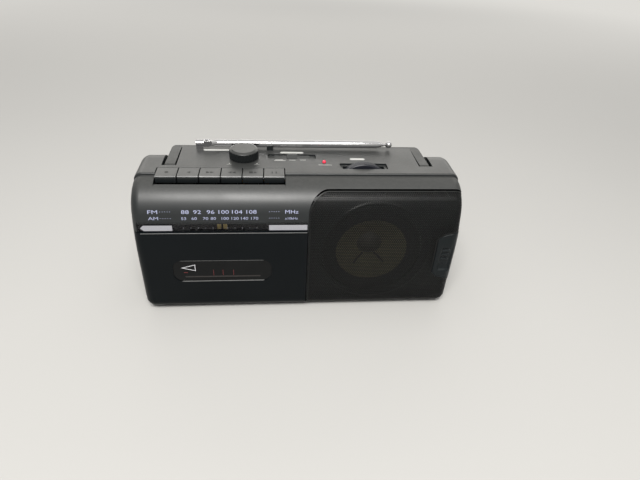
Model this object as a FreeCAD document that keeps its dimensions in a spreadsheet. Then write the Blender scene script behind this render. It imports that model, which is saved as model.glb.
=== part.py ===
import FreeCAD, Part
import math
import os
import re
import Sketcher

# A radio cassette recorder, built as separate pieces in one parametric document. Millimetres.
# X runs along the length, Y from the front to the back, Z up. The origin is on the ground, under the middle.

SIZES = [
    # the cabinet
    ("OverallDepth", 98.6), ("CabinetLength", 287), ("CabinetHeight", 127.3), ("CabinetDepth", 88.7),
    ("WallThickness", 2.4), ("SeamFromFront", 33.9), ("FaceHeight", 62), ("FaceRadius", 150),
    ("FaceLean", 16), ("BrowRadius", 30), ("BrowTurn", 82), ("EndRadius", 8), ("CornerRadius", 9),
    ("RearRadius", 25.5), ("DeckEdge", 1.6), ("FootHeight", 3), ("FootRadius", 6.5), ("FootInset", 22),
    ("BossRadius", 4), ("BossInset", 3.2), ("BossLow", 14), ("BossHigh", 98), ("ScrewRadius", 1.5),
    ("ScrewLength", 14), ("ScrewHeadRadius", 2.9), ("ScrewHeadThick", 2), ("ScrewSeat", 4),
    ("Clearance", 0.4), ("RunningFit", 0.08),
    # the cassette door, its window and the cassette holder
    ("DoorRight", 5), ("DoorTop", 86.8), ("DoorWrap", 10), ("DoorGap", 0.6), ("DoorLip", 4),
    ("DoorTopFlange", 6.6), ("DoorPinRadius", 1.5), ("DoorPinLength", 9), ("DoorEarWidth", 3),
    ("DoorEarRadius", 3.2), ("DoorEarInset", 11.5), ("LugRadius", 2.8), ("LugWidth", 3.6),
    ("CassetteMiddle", -70.3), ("CassetteBottom", 17.2), ("CassetteLength", 101.6), ("CassetteTall", 64.4),
    ("CassetteThick", 12.4), ("CassetteFromFront", 6.7), ("HolderSheet", 1), ("HolderLip", 7),
    ("LensLength", 87.4), ("LensHeight", 24), ("LensMiddle", 46.7), ("LensRadius", 9), ("LensThick", 1.4),
    ("LensRecess", 0.6), ("SpringWire", 0.45), ("SpringPlay", 0.2),
    # the tuning dial
    ("DialBottom", 87.5), ("DialTop", 96.7), ("DialInset", 4.5), ("DialRight", 5), ("DialThick", 1.2),
    ("DialFromFront", 3.7), ("DialSpace", 0.4), ("PointerMiddle", -68.3), ("PointerWidth", 8.4),
    ("PointerGap", 1.8), ("PointerThick", 0.8), ("LabelLeftEnd", -110), ("LabelRightEnd", -28.5),
    ("CordRadius", 0.4), ("CordUpper", 101.4), ("CordLower", 98.4), ("CordFromEnd", 21.5),
    ("CordInset", 1.6),
    ("CordPegRadius", 0.9),
    # the speaker, its grille and the microphone
    ("GrilleLeft", 6.6), ("GrilleTop", 119.6), ("GrilleSheet", 1), ("GrilleCorner", 17),
    ("GrilleGap", 0.9), ("GrilleWrap", 8), ("GrilleMargin", 8), ("GrilleBar", 2.4),
    ("BaffleFromFront", 13), ("SpeakerMiddle", 66.5),
    ("SpeakerHeight", 57), ("SpeakerRadius", 50), ("SpeakerMouth", 47), ("SurroundRadius", 45.5),
    ("ConeRadius", 34), ("ConeSheet", 0.8), ("CapRadius", 12), ("MagnetRadius", 27), ("MagnetThick", 9),
    ("SpeakerDepth", 27), ("SpeakerRim", 1.2), ("BasketRadius", 28), ("BasketDepth", 17),
    ("MicWidth", 20.2), ("MicBottom", 32), ("MicTop", 86.6), ("MicCorner", 5), ("MicSlotPitch", 5.1),
    ("MicSlotMiddle", 62.6), ("MicSlotInset", 14.3), ("MicSlotLength", 7.6), ("MicSlotTall", 1.5),
    ("MicCapsuleRadius", 2.5), ("MicCapsuleLength", 6), ("MicPostRadius", 1.8),
    # the keys
    ("KeyPitch", 18.35), ("KeysFromEnd", 19.4), ("KeyGap", 0.9), ("KeyFront", 27.9), ("KeyDepth", 15.7),
    ("KeyThick", 6.3), ("KeyChamfer", 0.8), ("KeyAxisBack", -0.5), ("KeyAxisDown", 9.8), ("KeyBoss", 3),
    ("KeyArmWidth", 9), ("KeyFoot", 11), ("KeyShaftRadius", 1.5), ("KeyRecess", 8.2), ("KeyWellDeep", 11.6),
    ("BracketSheet", 1),
    # the controls on the deck
    ("KnobAcross", -51), ("KnobFromFront", 65.6), ("KnobRadius", 13.2), ("KnobHeight", 9.2),
    ("KnobLift", 0.6), ("KnobStem", 3), ("KnobStemLength", 14.5), ("KnobFlutes", 28), ("FluteRadius", 0.9),
    ("FluteOut", 0.35), ("WellCorner", 1.5), ("PotRadius", 8.4),
    ("PotHeight", 11.4), ("PotNeck", 4.6),
    ("SliderMiddle", -7), ("SliderFromFront", 67.6), ("SliderWell", 44.4), ("SliderWide", 9.5),
    ("SliderPlate", 32.6), ("SliderTravel", 5), ("SliderDeep", 1.8), ("SliderStem", 3),
    ("ThumbLength", 9.6),
    ("ThumbHeight", 2), ("SwitchLength", 22), ("SwitchHeight", 6),
    ("LedAcross", 22), ("LedFromFront", 56), ("LedRadius", 1.6), ("LedProud", 0.5), ("LedLeads", 2.54),
    ("WheelAcross", 57.6), ("WheelFromFront", 48.7), ("WheelRadius", 24), ("WheelThick", 6.6),
    ("WheelProud", 3), ("WheelWell", 43.5), ("WheelWellWide", 11), ("WheelWellDeep", 2),
    ("DrumRadius", 17.5),
    ("DrumThick", 2.7), ("WheelShaftRadius", 3), ("WheelShaftLength", 5), ("TunerSide", 20),
    ("TunerDeep", 14),
    ("TunerGap", 2.4),
    # the carrying handle
    ("HandleArm", 8.8), ("HandleArmInside", 111.2), ("HandleSide", 2), ("HandlePivotBack", 54.5),
    ("HandlePivotDown", 5.8), ("HandleThick", 9.2), ("HandleReach", 40.4), ("GripThick", 7.4),
    ("GripTall", 8.4),
    ("GripDown", 6.9), ("HandleCorner", 8), ("HandlePinRadius", 2), ("SlotDeep", 12.2), ("SlotFront", 1),
    # the telescopic antenna
    ("AntennaFromFront", 84.8), ("AntennaUp", 5), ("AntennaRoot", -95.9), ("AntennaBarrel", 6.2),
    ("AntennaBarrelRadius", 3), ("AntennaHinge", -84.6), ("AntennaCheek", 2.8), ("AntennaTongue", 2),
    ("AntennaStart", -76.2), ("AntennaTube", 152), ("AntennaRadius", 3.5), ("AntennaStep", 0.6),
    ("AntennaWall", 0.4), ("AntennaCollar", 2.1), ("AntennaBall", 3.25), ("AntennaPin", 0.9),
    ("SwivelPin", 1.5), ("ClipAcross", -27.3), ("ClipWide", 6), ("ClipFit", 0.3),
    # the tape mechanism
    ("ReelSpacing", 42.5), ("ReelHeight", 46.7), ("ChassisFromFront", 24.1), ("ChassisSheet", 1.2),
    ("ChassisBottom", 26), ("ChassisTop", 104), ("CapstanFromMiddle", 21), ("CapstanHeight", 73.6),
    ("CapstanRadius", 1), ("FlywheelRadius", 23), ("FlywheelHub", 5),
    ("StudRadius", 1.4), ("StudPlay", 0.2), ("MotorNose", 3.2), ("FinHalf", 0.6), ("FlywheelThick", 5),
    ("FlywheelGap", 2), ("PostLength", 9),
    ("PostRadius", 2.5), ("MotorAcross", -38), ("MotorHeight", 62), ("MotorRadius", 14),
    ("MotorLength", 22),
    ("PulleyRadius", 4), ("BeltThick", 0.8), ("BeltWide", 2.4), ("BeltFit", 0.1), ("RollerRadius", 5.5),
    ("RollerWidth", 7.6), ("RollerLift", 5), ("RollerPin", 1), ("HeadFromFront", 9.3), ("HeadWidth", 12),
    ("HeadHeight", 9), ("HeadLift", 0.6), ("HeadTravel", 4.6), ("EraseOffset", 17), ("EraseWidth", 7),
    ("HeadBaseFromFront", 20.9),
    ("HeadBaseSheet", 1.2), ("SpindleRadius", 2.6), ("SpindleFin", 4.5), ("TableRadius", 9),
    ("ReelPin", 1.2),
    # the electronics and the power supply
    ("BoardLeft", -66), ("BoardRight", 100), ("BoardFromFront", 55.2), ("BoardWide", 28.1),
    ("BoardDown", 17.7),
    ("BoardThick", 1.6), ("BoardPost", 3), ("RodRadius", 5), ("RodLength", 90), ("RodFromFront", 78.8),
    ("BatteryLeft", -60), ("BatteryLength", 155), ("BatteryBottom", 12), ("BatteryHeight", 54),
    ("BatteryDeep", 28), ("BatteryWall", 1.6), ("LidThick", 2), ("LidGap", 0.5), ("LidPin", 0.7),
    ("ContactThick", 0.6),
    ("TransformerFromEnd", 39.5), ("TransformerLength", 36), ("TransformerWide", 28), ("TransformerTall", 32),
    ("InletFromEnd", 25.5), ("InletHeight", 30), ("InletLength", 22), ("InletTall", 13), ("InletDeep", 16),
    ("InletWall", 3.1), ("InletCorner", 3.3), ("InletPinRadius", 1.2), ("InletPinSpace", 4.3),
    ("CanRadius", 4.5),
    ("JackHeight", 60), ("JackFromFront", 70), ("JackRadius", 1.8), ("JackNose", 3.2), ("JackBody", 8),
]

doc = FreeCAD.newDocument("RadioCassetteRecorder")
sheet = doc.addObject("Spreadsheet::Sheet", "Sizes")
for row, (name, size) in enumerate(SIZES, 1):
    sheet.set(f"A{row}", name)
    sheet.set(f"B{row}", str(size))
    sheet.setAlias(f"B{row}", name)
doc.recompute()

# places that many pieces share
FRONT = "(0 - OverallDepth / 2)"
SEAM = f"({FRONT} + SeamFromFront)"
BACK = f"({FRONT} + CabinetDepth)"
END = "(CabinetLength / 2)"
DECK = "CabinetHeight"
FLOOR = "(FootHeight + WallThickness)"
BROW_Y = "(0 - OverallDepth / 2 + FaceRadius - (FaceRadius - BrowRadius) * cos(FaceLean))"
BROW_Z = "(FaceHeight + (FaceRadius - BrowRadius) * sin(FaceLean))"
UNDER_DECK = "(CabinetHeight - WallThickness)"
DIAL_LEFT = f"(DialInset - {END})"
KEYS_LEFT = f"(KeysFromEnd - {END})"
CORD_LEFT = f"(CordFromEnd - {END})"
MIC_LEFT = f"({END} - MicWidth)"
MIC_SLOT_LEFT = f"({END} - MicSlotInset)"
CAPSTAN_ACROSS = "(CassetteMiddle - CapstanFromMiddle)"
INLET_ACROSS = f"(InletFromEnd - {END})"

nodes = []


def formula(words):
    """A formula of size names, with the sheet in front of each name."""
    return re.sub(r"\b[A-Z]\w+", r"Sizes.\g<0>", str(words))


def value(words):
    return float(sheet.evalExpression(formula(words)))


def node(piece, label=None):
    """Keep a finished piece: its label names its file."""
    piece.Label = label or piece.Name
    nodes.append(piece)
    return piece


def rectangle(left, bottom, right, top, radius=None):
    if radius is None:
        return [(left, bottom), (right, bottom), (right, top), (left, top)]
    inner_left, inner_right = f"{left} + {radius}", f"{right} - ({radius})"
    inner_bottom, inner_top = f"{bottom} + {radius}", f"{top} - ({radius})"
    return [
        (inner_left, bottom, radius, "left"), (inner_right, bottom), (right, inner_bottom, radius, "left"),
        (right, inner_top), (inner_right, top, radius, "left"), (inner_left, top),
        (left, inner_top, radius, "left"), (left, inner_bottom),
    ]


def arc_between(start, stop, radius, turn):
    """The arc of less than half a turn between two points, and which of its ends is the start."""
    half = (stop - start) * 0.5
    side = FreeCAD.Vector(-half.y, half.x, 0)
    if turn == "right":
        side = -side
    height = math.sqrt(max(radius**2 - half.Length**2, 0))
    middle = start + half + side.normalize() * height
    angles = [math.atan2(point.y - middle.y, point.x - middle.x) for point in (start, stop)]
    circle = Part.Circle(middle, FreeCAD.Vector(0, 0, 1), radius)
    if turn == "left":
        return Part.ArcOfCircle(circle, angles[0], angles[1]), 1, 2
    return Part.ArcOfCircle(circle, angles[1], angles[0]), 2, 1


def fix(sketch, kind, *what):
    """Add a measured constraint that follows the sheet."""
    words = what[-1]
    index = sketch.addConstraint(Sketcher.Constraint(kind, *what[:-1], value(words)))
    sketch.setExpression(f"Constraints[{index}]", formula(words))


def draw(sketch, outline):
    """Draw a circle, or a closed outline of corners. A corner with a radius ends an arc."""
    if outline[0] == "circle":
        across, up, radius = outline[1:]
        middle = FreeCAD.Vector(value(across), value(up), 0)
        ring = sketch.addGeometry(Part.Circle(middle, FreeCAD.Vector(0, 0, 1), value(radius)), False)
        fix(sketch, "DistanceX", -1, 1, ring, 3, across)
        fix(sketch, "DistanceY", -1, 1, ring, 3, up)
        fix(sketch, "Radius", ring, radius)
        return
    corners = [FreeCAD.Vector(value(corner[0]), value(corner[1]), 0) for corner in outline]
    ends = []
    for index, corner in enumerate(outline):
        start, stop = corners[index - 1], corners[index]
        if len(corner) == 2:
            edge = sketch.addGeometry(Part.LineSegment(start, stop), False)
            ends.append((edge, 1, 2))
        else:
            shape, first, last = arc_between(start, stop, value(corner[2]), corner[3])
            edge = sketch.addGeometry(shape, False)
            ends.append((edge, first, last))
    for index, (edge, first, last) in enumerate(ends):
        before, ignored, before_last = ends[index - 1]
        sketch.addConstraint(Sketcher.Constraint("Coincident", before, before_last, edge, first))
    for corner, (edge, first, last) in zip(outline, ends):
        fix(sketch, "DistanceX", -1, 1, edge, last, corner[0])
        fix(sketch, "DistanceY", -1, 1, edge, last, corner[1])
        if len(corner) == 4:
            fix(sketch, "Radius", edge, corner[2])


def new_body(name):
    return doc.addObject("PartDesign::Body", name)


def sketch_in(body, plane, outlines, offset):
    """A sketch on one of the body's own planes, moved by offset: x, y and z formulas."""
    sketch = body.newObject("Sketcher::SketchObject", body.Name + "Outline")
    origin = [face for face in body.Origin.OriginFeatures if face.Role == plane + "_Plane"][0]
    sketch.AttachmentSupport = [(origin, "")]
    sketch.MapMode = "FlatFace"
    for letter, words in zip("xyz", offset):
        if words != "0":
            sketch.setExpression("AttachmentOffset.Base." + letter, formula(words))
    for outline in outlines:
        draw(sketch, outline)
    return sketch


def extrude(body, kind, plane, outlines, low, high):
    """Add (Pad) or take away (Pocket) a prism between two places along the plane's axis."""
    offset = f"0 - ({high})" if plane == "XZ" else low
    sketch = sketch_in(body, plane, outlines, ("0", "0", offset))
    feature = body.newObject("PartDesign::" + kind, body.Name + kind)
    feature.Profile = sketch
    feature.setExpression("Length", formula(f"({high}) - ({low})"))
    feature.Reversed = kind == "Pocket"
    return feature


def pad(body, plane, low, high, *outlines):
    return extrude(body, "Pad", plane, outlines, low, high)


def pocket(body, plane, low, high, *outlines):
    return extrude(body, "Pocket", plane, outlines, low, high)


def prism(name, plane, low, high, *outlines):
    """A body of one pad."""
    body = new_body(name)
    pad(body, plane, low, high, *outlines)
    return body


def turned(name, axis, centre, outline):
    """A body turned about an axis through centre. The outline's corners are (radius, place along axis)."""
    body = new_body(name)
    first, second = centre
    if axis == "x":
        swapped = [(corner[1], corner[0]) + corner[2:] for corner in outline]
        sketch = sketch_in(body, "XY", [swapped], ("0", first, second))
    elif axis == "y":
        sketch = sketch_in(body, "XY", [outline], (first, "0", second))
    else:
        sketch = sketch_in(body, "XZ", [outline], (first, "0", f"0 - ({second})"))
    feature = body.newObject("PartDesign::Revolution", name + "Turn")
    feature.Profile = sketch
    feature.ReferenceAxis = (sketch, ["H_Axis" if axis == "x" else "V_Axis"])
    return body


def block(name, across, along, up):
    """A box between two places each way."""
    piece = doc.addObject("Part::Box", name)
    for size, letter, (low, high) in zip(("Length", "Width", "Height"), "xyz", (across, along, up)):
        piece.setExpression(size, formula(f"({high}) - ({low})"))
        piece.setExpression("Placement.Base." + letter, formula(low))
    return piece


def rod(name, axis, centre, radius, low, high):
    """A round bar along x, y or z. The centre is its place in the other two directions."""
    turns = {"x": ((0, 1, 0), 90), "y": ((1, 0, 0), -90), "z": ((0, 0, 1), 0)}
    piece = doc.addObject("Part::Cylinder", name)
    direction, angle = turns[axis]
    piece.Placement = FreeCAD.Placement(
        FreeCAD.Vector(), FreeCAD.Rotation(FreeCAD.Vector(*direction), angle))
    piece.setExpression("Radius", formula(radius))
    piece.setExpression("Height", formula(f"({high}) - ({low})"))
    places = list(centre)
    places.insert("xyz".index(axis), low)
    for letter, words in zip("xyz", places):
        piece.setExpression("Placement.Base." + letter, formula(words))
    return piece


def ball(name, centre, radius):
    piece = doc.addObject("Part::Sphere", name)
    piece.setExpression("Radius", formula(radius))
    for letter, words in zip("xyz", centre):
        piece.setExpression("Placement.Base." + letter, formula(words))
    return piece


def join(name, *pieces):
    piece = doc.addObject("Part::MultiFuse", name)
    piece.Shapes = list(pieces)
    piece.Refine = True
    return piece


def cut(name, base, *tools):
    piece = doc.addObject("Part::Cut", name)
    piece.Base = base
    piece.Tool = tools[0] if len(tools) == 1 else join(name + "Tools", *tools)
    piece.Refine = True
    return piece


def common(name, first, second):
    piece = doc.addObject("Part::Common", name)
    piece.Base = first
    piece.Tool = second
    piece.Refine = True
    return piece


def group(name, *pieces):
    piece = doc.addObject("Part::Compound", name)
    piece.Links = list(pieces)
    return piece


def round_edges(body, radius, wanted):
    """Round the edges of the body that the test picks."""
    doc.recompute()
    last = body.Tip
    names = [f"Edge{i}" for i, edge in enumerate(last.Shape.Edges, 1) if wanted(edge.BoundBox)]
    feature = body.newObject("PartDesign::Fillet", body.Name + "Round")
    feature.Base = (last, names)
    feature.setExpression("Radius", formula(radius))
    return feature


def near(first, second):
    return abs(first - second) < 0.01


# ---- the front skin: one rolled shape that the cabinet, the door and the grille are cut from ----

def face_outline(inset, rear):
    """Side view of the front: an upright face that leans back and rolls over into the top."""
    lean_radius, brow_radius = f"FaceRadius - {inset}", f"BrowRadius - {inset}"
    lean_y = f"{FRONT} + FaceRadius - ({lean_radius}) * cos(FaceLean)"
    lean_z = f"FaceHeight + ({lean_radius}) * sin(FaceLean)"
    brow_y = f"{BROW_Y} - ({brow_radius}) * cos(BrowTurn)"
    brow_z = f"{BROW_Z} + ({brow_radius}) * sin(BrowTurn)"
    rear_z = f"{brow_z} + ({rear} - ({brow_y})) / tan(BrowTurn)"
    face, floor = f"{FRONT} + {inset}", f"FootHeight + {inset}"
    return [
        (face, floor), (face, "FaceHeight"), (lean_y, lean_z, lean_radius, "right"),
        (brow_y, brow_z, brow_radius, "right"), (rear, rear_z), (rear, floor),
    ]


def front_skin(name, inset, rear):
    """The solid that the front encloses, set in by inset, with its ends and corners rounded."""
    body = new_body(name)
    end = f"{END} - {inset}"
    pad(body, "YZ", f"0 - ({end})", end, face_outline(inset, rear))
    side, bottom = value(end), value(f"FootHeight + {inset}")
    face, back = value(f"{FRONT} + {inset}"), value(rear)
    round_edges(body, f"CornerRadius - {inset}",
                lambda box: near(box.ZMax, bottom) and near(box.XMin, box.XMax))
    round_edges(body, f"EndRadius - {inset}", lambda box: (
        near(box.YMin, face) and box.YMax < back - 1
        and (near(box.XMax, -side) or near(box.XMin, side) or near(box.ZMax, bottom)
             or box.ZMax < bottom + value("CornerRadius"))
        or near(box.XMin, box.XMax) and near(abs(box.XMin), side) and box.YMin > face + 0.01
        and box.ZMin > value("FaceHeight") - 1 and not near(box.YMin, box.YMax)))
    return body


def front_layer(name, inset):
    """What lies deeper than inset behind the front, over the whole length and down to the ground."""
    outline = face_outline(inset, f"{SEAM} + 2")
    outline[0] = (outline[0][0], "0 - 1")
    outline[-1] = (outline[-1][0], "0 - 1")
    return prism(name, "YZ", f"0 - {END} - 2", f"{END} + 2", outline)


skin = front_skin("Skin", "0", SEAM)
skin_hollow = front_skin("SkinHollow", "WallThickness", f"{SEAM} + 1")
skin_sheet = front_skin("SkinSheet", "GrilleSheet", f"{SEAM} + 1")
behind_wrap = front_layer("BehindWrap", "GrilleWrap")
behind_wrap_gap = front_layer("BehindWrapGap", "(GrilleWrap + GrilleGap)")
shell = cut("FrontShell", skin, skin_hollow)

# ---- front cabinet ----

DOOR_AXIS_Y = f"({FRONT} + EndRadius)"
DOOR_AXIS_Z = "(FootHeight + EndRadius)"
DIVIDER_LEFT = "(DoorRight + DoorGap)"
DIVIDER_RIGHT = "(DoorRight + DoorGap + WallThickness)"
KEYS_RIGHT = f"({KEYS_LEFT} + 6 * KeyPitch - KeyGap)"
KEY_Y = f"({FRONT} + KeyFront)"
WELL_FLOOR = "(CabinetHeight - KeyWellDeep)"
BAFFLE = f"({FRONT} + BaffleFromFront)"
BOSS_ACROSS = "(CabinetLength / 2 - WallThickness - BossInset)"


def grille_outline(gap):
    """Front view of the grille: square below, with a large round at the upper left."""
    left, top, radius = f"GrilleLeft - {gap}", f"GrilleTop + {gap}", f"GrilleCorner + {gap}"
    return [
        (left, "FootHeight - 2"), (f"{END} + 2", "FootHeight - 2"), (f"{END} + 2", top),
        (f"{left} + {radius}", top), (left, f"{top} - ({radius})", radius, "left"),
    ]


def above_grille(name, gap):
    """What lies above the grille's upper edge, which is cut square to the brow."""
    sine = f"((GrilleTop + {gap} - {BROW_Z}) / BrowRadius)"
    reach = "(BrowRadius + 6)"
    outer_y = f"{BROW_Y} - {reach} * sqrt(1 - {sine} * {sine})"
    return prism(name, "YZ", f"0 - {END} - 1", f"{END} + 1", [
        (BROW_Y, BROW_Z), (outer_y, f"{BROW_Z} + {reach} * {sine}"), (outer_y, f"{DECK} + 5"),
        (f"{SEAM} + 2", f"{DECK} + 5"), (f"{SEAM} + 2", BROW_Z)])


def microphone_outline(gap):
    """Front view of the microphone cover: it widens towards the end of the cabinet."""
    left, slant = f"{MIC_LEFT} - {gap}", "MicCorner"
    return [
        (left, f"MicBottom + 2 * {slant} - {gap}"),
        (f"{left} + {slant}", f"MicBottom + {slant} * 0.8 - {gap}"),
        (f"{END} + 2", f"MicBottom - 1 - {gap}"), (f"{END} + 2", f"MicTop + {gap}"),
        (f"{left} + {slant}", f"MicTop - {slant} * 0.75 + {gap}"),
        (left, f"MicTop - {slant} * 1.8 + {gap}"),
    ]


def screw_bosses(name, low, high):
    return [rod(f"{name}{column}{row}", "y", (f"{sign} * {BOSS_ACROSS}", height), "BossRadius", low, high)
            for column, sign in (("Left", "-1"), ("Right", "1"))
            for row, height in (("Low", "BossLow"), ("High", "BossHigh"))]


def screw_bores(name, radius, low, high):
    return [rod(f"{name}{column}{row}", "y", (f"{sign} * {BOSS_ACROSS}", height), radius, low, high)
            for column, sign in (("Left", "-1"), ("Right", "1"))
            for row, height in (("Low", "BossLow"), ("High", "BossHigh"))]


door_hole = block("DoorHole", (f"0 - {END} - 1", DIVIDER_LEFT),
                  (f"{FRONT} - 1", f"{FRONT} + DoorWrap + DoorGap"), ("FootHeight - 1", "DialBottom"))
dial_hole = block("DialHole", (DIAL_LEFT, "DialRight"), (f"{FRONT} - 1", f"{FRONT} + HeadFromFront"),
                  ("DialBottom - 1", "DialTop"))
grille_hole = cut("GrilleHole", prism("GrilleOpening", "XZ", f"{FRONT} - 1", SEAM,
                                      grille_outline("GrilleGap")),
                  behind_wrap_gap, above_grille("AboveGrilleGap", "GrilleGap"))
key_well = prism("KeyWell", "XY", WELL_FLOOR, f"{DECK} + 1",
                 rectangle(f"{KEYS_LEFT} - KeyGap", f"{KEY_Y} - KeyRecess", f"{KEYS_RIGHT} + KeyGap",
                           f"{SEAM} + 6", 3))
key_tray = common("KeyTray", skin, block(
    "KeyTrayBlock", (f"{KEYS_LEFT} - KeyGap - WallThickness", f"{KEYS_RIGHT} + KeyGap + WallThickness"),
    (f"{KEY_Y} - KeyRecess - WallThickness", SEAM), (f"{WELL_FLOOR} - WallThickness", DECK)))
divider = common("Divider", skin_hollow, block(
    "DividerBlock", (DIVIDER_LEFT, DIVIDER_RIGHT), (FRONT, SEAM), ("FootHeight", DECK)))
baffle = cut("Baffle", common("BafflePlate", skin_hollow, block(
    "BaffleBlock", (DIVIDER_RIGHT, END), (BAFFLE, f"{BAFFLE} + WallThickness"), ("FootHeight", DECK))),
    rod("BaffleMouth", "y", ("SpeakerMiddle", "SpeakerHeight"), "SpeakerMouth",
        f"{BAFFLE} - 1", f"{BAFFLE} + WallThickness + 1"))


def door_lug(name, low, high):
    """A lug on the cabinet floor that reaches forward to the door's hinge pin."""
    eye = rod(name + "Eye", "x", (DOOR_AXIS_Y, DOOR_AXIS_Z), "LugRadius", low, high)
    arm = block(name + "Arm", (low, high), (DOOR_AXIS_Y, f"{FRONT} + DoorWrap + 4"),
                (f"{DOOR_AXIS_Z} - LugRadius", f"{DOOR_AXIS_Z} + LugRadius"))
    foot = block(name + "Foot", (low, high), (f"{FRONT} + DoorWrap + DoorGap", f"{FRONT} + DoorWrap + 4"),
                 (FLOOR, DOOR_AXIS_Z))
    return eye, arm, foot


EAR_LEFT = "(0 - CabinetLength / 2 + DoorEarInset)"
EAR_RIGHT = "(DoorRight - DoorEarInset)"
left_lug = door_lug("LeftLug", f"{EAR_LEFT} + DoorEarWidth + Clearance",
                    f"{EAR_LEFT} + DoorEarWidth + Clearance + LugWidth")
right_lug = door_lug("RightLug", f"{EAR_RIGHT} - DoorEarWidth - Clearance - LugWidth",
                     f"{EAR_RIGHT} - DoorEarWidth - Clearance")
lug_bore = rod("LugBore", "x", (DOOR_AXIS_Y, DOOR_AXIS_Z), "DoorPinRadius + RunningFit", f"0 - {END} + 3",
               "DoorRight - 3")

sill_ends = (f"{EAR_LEFT} + DoorEarWidth + Clearance", f"{EAR_RIGHT} - DoorEarWidth - Clearance")
sill_back = f"{FRONT} + DoorWrap + 4"
door_sill = block("DoorSill", sill_ends, (f"{DOOR_AXIS_Y} - 1.2", sill_back),
                  (f"{FLOOR} + 0.5", f"{FLOOR} + 1.9"))
sill_riser = block("SillRiser", sill_ends, (f"{FRONT} + DoorWrap + DoorGap", sill_back),
                   ("FootHeight", f"{FLOOR} + 1.9"))
front_solid = join("FrontSolid", cut("OpenShell", shell, door_hole, dial_hole, grille_hole), key_tray,
                   divider,
                   baffle, door_sill, sill_riser, *left_lug, *right_lug,
                   *screw_bosses("FrontBoss", f"{SEAM} - ScrewLength - 1", SEAM))
front_cabinet = node(cut("front_cabinet", front_solid, key_well, lug_bore,
                         *screw_bores("FrontBore", "ScrewRadius", f"{SEAM} - ScrewLength + ScrewSeat",
                                      f"{SEAM} + 1")))


# ---- cassette door, window and cassette holder ----

CASSETTE_FRONT = f"({FRONT} + CassetteFromFront)"
CASSETTE_REAR = f"({FRONT} + CassetteFromFront + CassetteThick)"
CASSETTE_LEFT = "(CassetteMiddle - CassetteLength / 2)"
CASSETTE_RIGHT = "(CassetteMiddle + CassetteLength / 2)"
DOOR_INSIDE = f"({FRONT} + WallThickness)"


def door_ear(name, low, high, pin_low, pin_high):
    """An ear behind the lower edge of the door, with its moulded hinge pin."""
    eye = rod(name + "Eye", "x", (DOOR_AXIS_Y, DOOR_AXIS_Z), "DoorEarRadius", low, high)
    web = block(name + "Web", (low, high), (f"{FRONT} + 1", DOOR_AXIS_Y),
                (f"{DOOR_AXIS_Z} - DoorEarRadius", f"{DOOR_AXIS_Z} + DoorEarRadius"))
    pin = rod(name + "Pin", "x", (DOOR_AXIS_Y, DOOR_AXIS_Z), "DoorPinRadius", pin_low, pin_high)
    return eye, web, pin


door_block = block("DoorBlock", (f"0 - {END} - 1", "DoorRight"), (f"{FRONT} - 1", f"{FRONT} + DoorWrap"),
                   ("FootHeight - 1", "DoorTop"))
door_inside = common("DoorInside", skin_hollow, block(
    "DoorInsideBlock", (f"0 - {END}", "DoorRight - WallThickness"), (FRONT, f"{FRONT} + DoorWrap + 1"),
    ("FootHeight", "DoorTop - WallThickness")))
lip_space = block("LipSpace", (f"0 - {END} - 2", "DoorRight + 1"),
                  (f"{FRONT} + DoorLip", f"{FRONT} + DoorWrap + 1"),
                  ("FootHeight - 1", "FootHeight + EndRadius + 5"))
top_space = block("TopSpace", (f"0 - {END} + WallThickness", "DoorRight - WallThickness"),
                  (f"{FRONT} + DoorTopFlange", f"{FRONT} + DoorWrap + 1"),
                  ("DoorTop - WallThickness - 1", "DoorTop + 1"))
lens_outline = rectangle("CassetteMiddle - LensLength / 2", "LensMiddle - LensHeight / 2",
                         "CassetteMiddle + LensLength / 2", "LensMiddle + LensHeight / 2", "LensRadius")
lens_hole = prism("LensHole", "XZ", f"{FRONT} - 1", f"{DOOR_INSIDE} + 1", lens_outline)
left_ear = door_ear("LeftEar", EAR_LEFT, f"{EAR_LEFT} + DoorEarWidth", f"{EAR_LEFT} + DoorEarWidth",
                    f"{EAR_LEFT} + DoorEarWidth + DoorPinLength")
right_ear = door_ear("RightEar", f"{EAR_RIGHT} - DoorEarWidth", EAR_RIGHT,
                     f"{EAR_RIGHT} - DoorEarWidth - Clearance - LugWidth", f"{EAR_RIGHT} - DoorEarWidth")
door_shell = cut("DoorShell", common("DoorSolid", skin, door_block), door_inside, lip_space, top_space,
                 lens_hole)
cassette_door = node(join("cassette_door", door_shell, *left_ear, *right_ear))
door_window = node(prism("door_window", "XZ", f"{FRONT} + LensRecess", f"{FRONT} + LensRecess + LensThick",
                         lens_outline))


def holder_channel(name, wall_low, wall_high, lip_low, lip_high):
    """One side of the cassette holder: a side wall with a front lip and a rear lip."""
    up = ("CassetteBottom - HolderSheet", "FaceHeight")
    wall = block(name + "Wall", (wall_low, wall_high), (DOOR_INSIDE, f"{CASSETTE_REAR} + HolderSheet"), up)
    front = block(name + "Front", (lip_low, lip_high), (f"{CASSETTE_FRONT} - HolderSheet", CASSETTE_FRONT),
                  up)
    rear = block(name + "Rear", (lip_low, lip_high), (CASSETTE_REAR, f"{CASSETTE_REAR} + HolderSheet"), up)
    return wall, front, rear


holder_left = holder_channel("HolderLeft", f"{CASSETTE_LEFT} - HolderSheet", CASSETTE_LEFT,
                             f"{CASSETTE_LEFT} - HolderSheet", f"{CASSETTE_LEFT} + HolderLip")
holder_right = holder_channel("HolderRight", CASSETTE_RIGHT, f"{CASSETTE_RIGHT} + HolderSheet",
                              f"{CASSETTE_RIGHT} - HolderLip", f"{CASSETTE_RIGHT} + HolderSheet")
holder_shelf = block("HolderShelf", (f"{CASSETTE_LEFT} - HolderSheet", f"{CASSETTE_RIGHT} + HolderSheet"),
                     (DOOR_INSIDE, f"{CASSETTE_REAR} + HolderSheet"),
                     ("CassetteBottom - HolderSheet", "CassetteBottom"))
cassette_holder = node(join("cassette_holder", *holder_left, *holder_right, holder_shelf))

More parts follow.
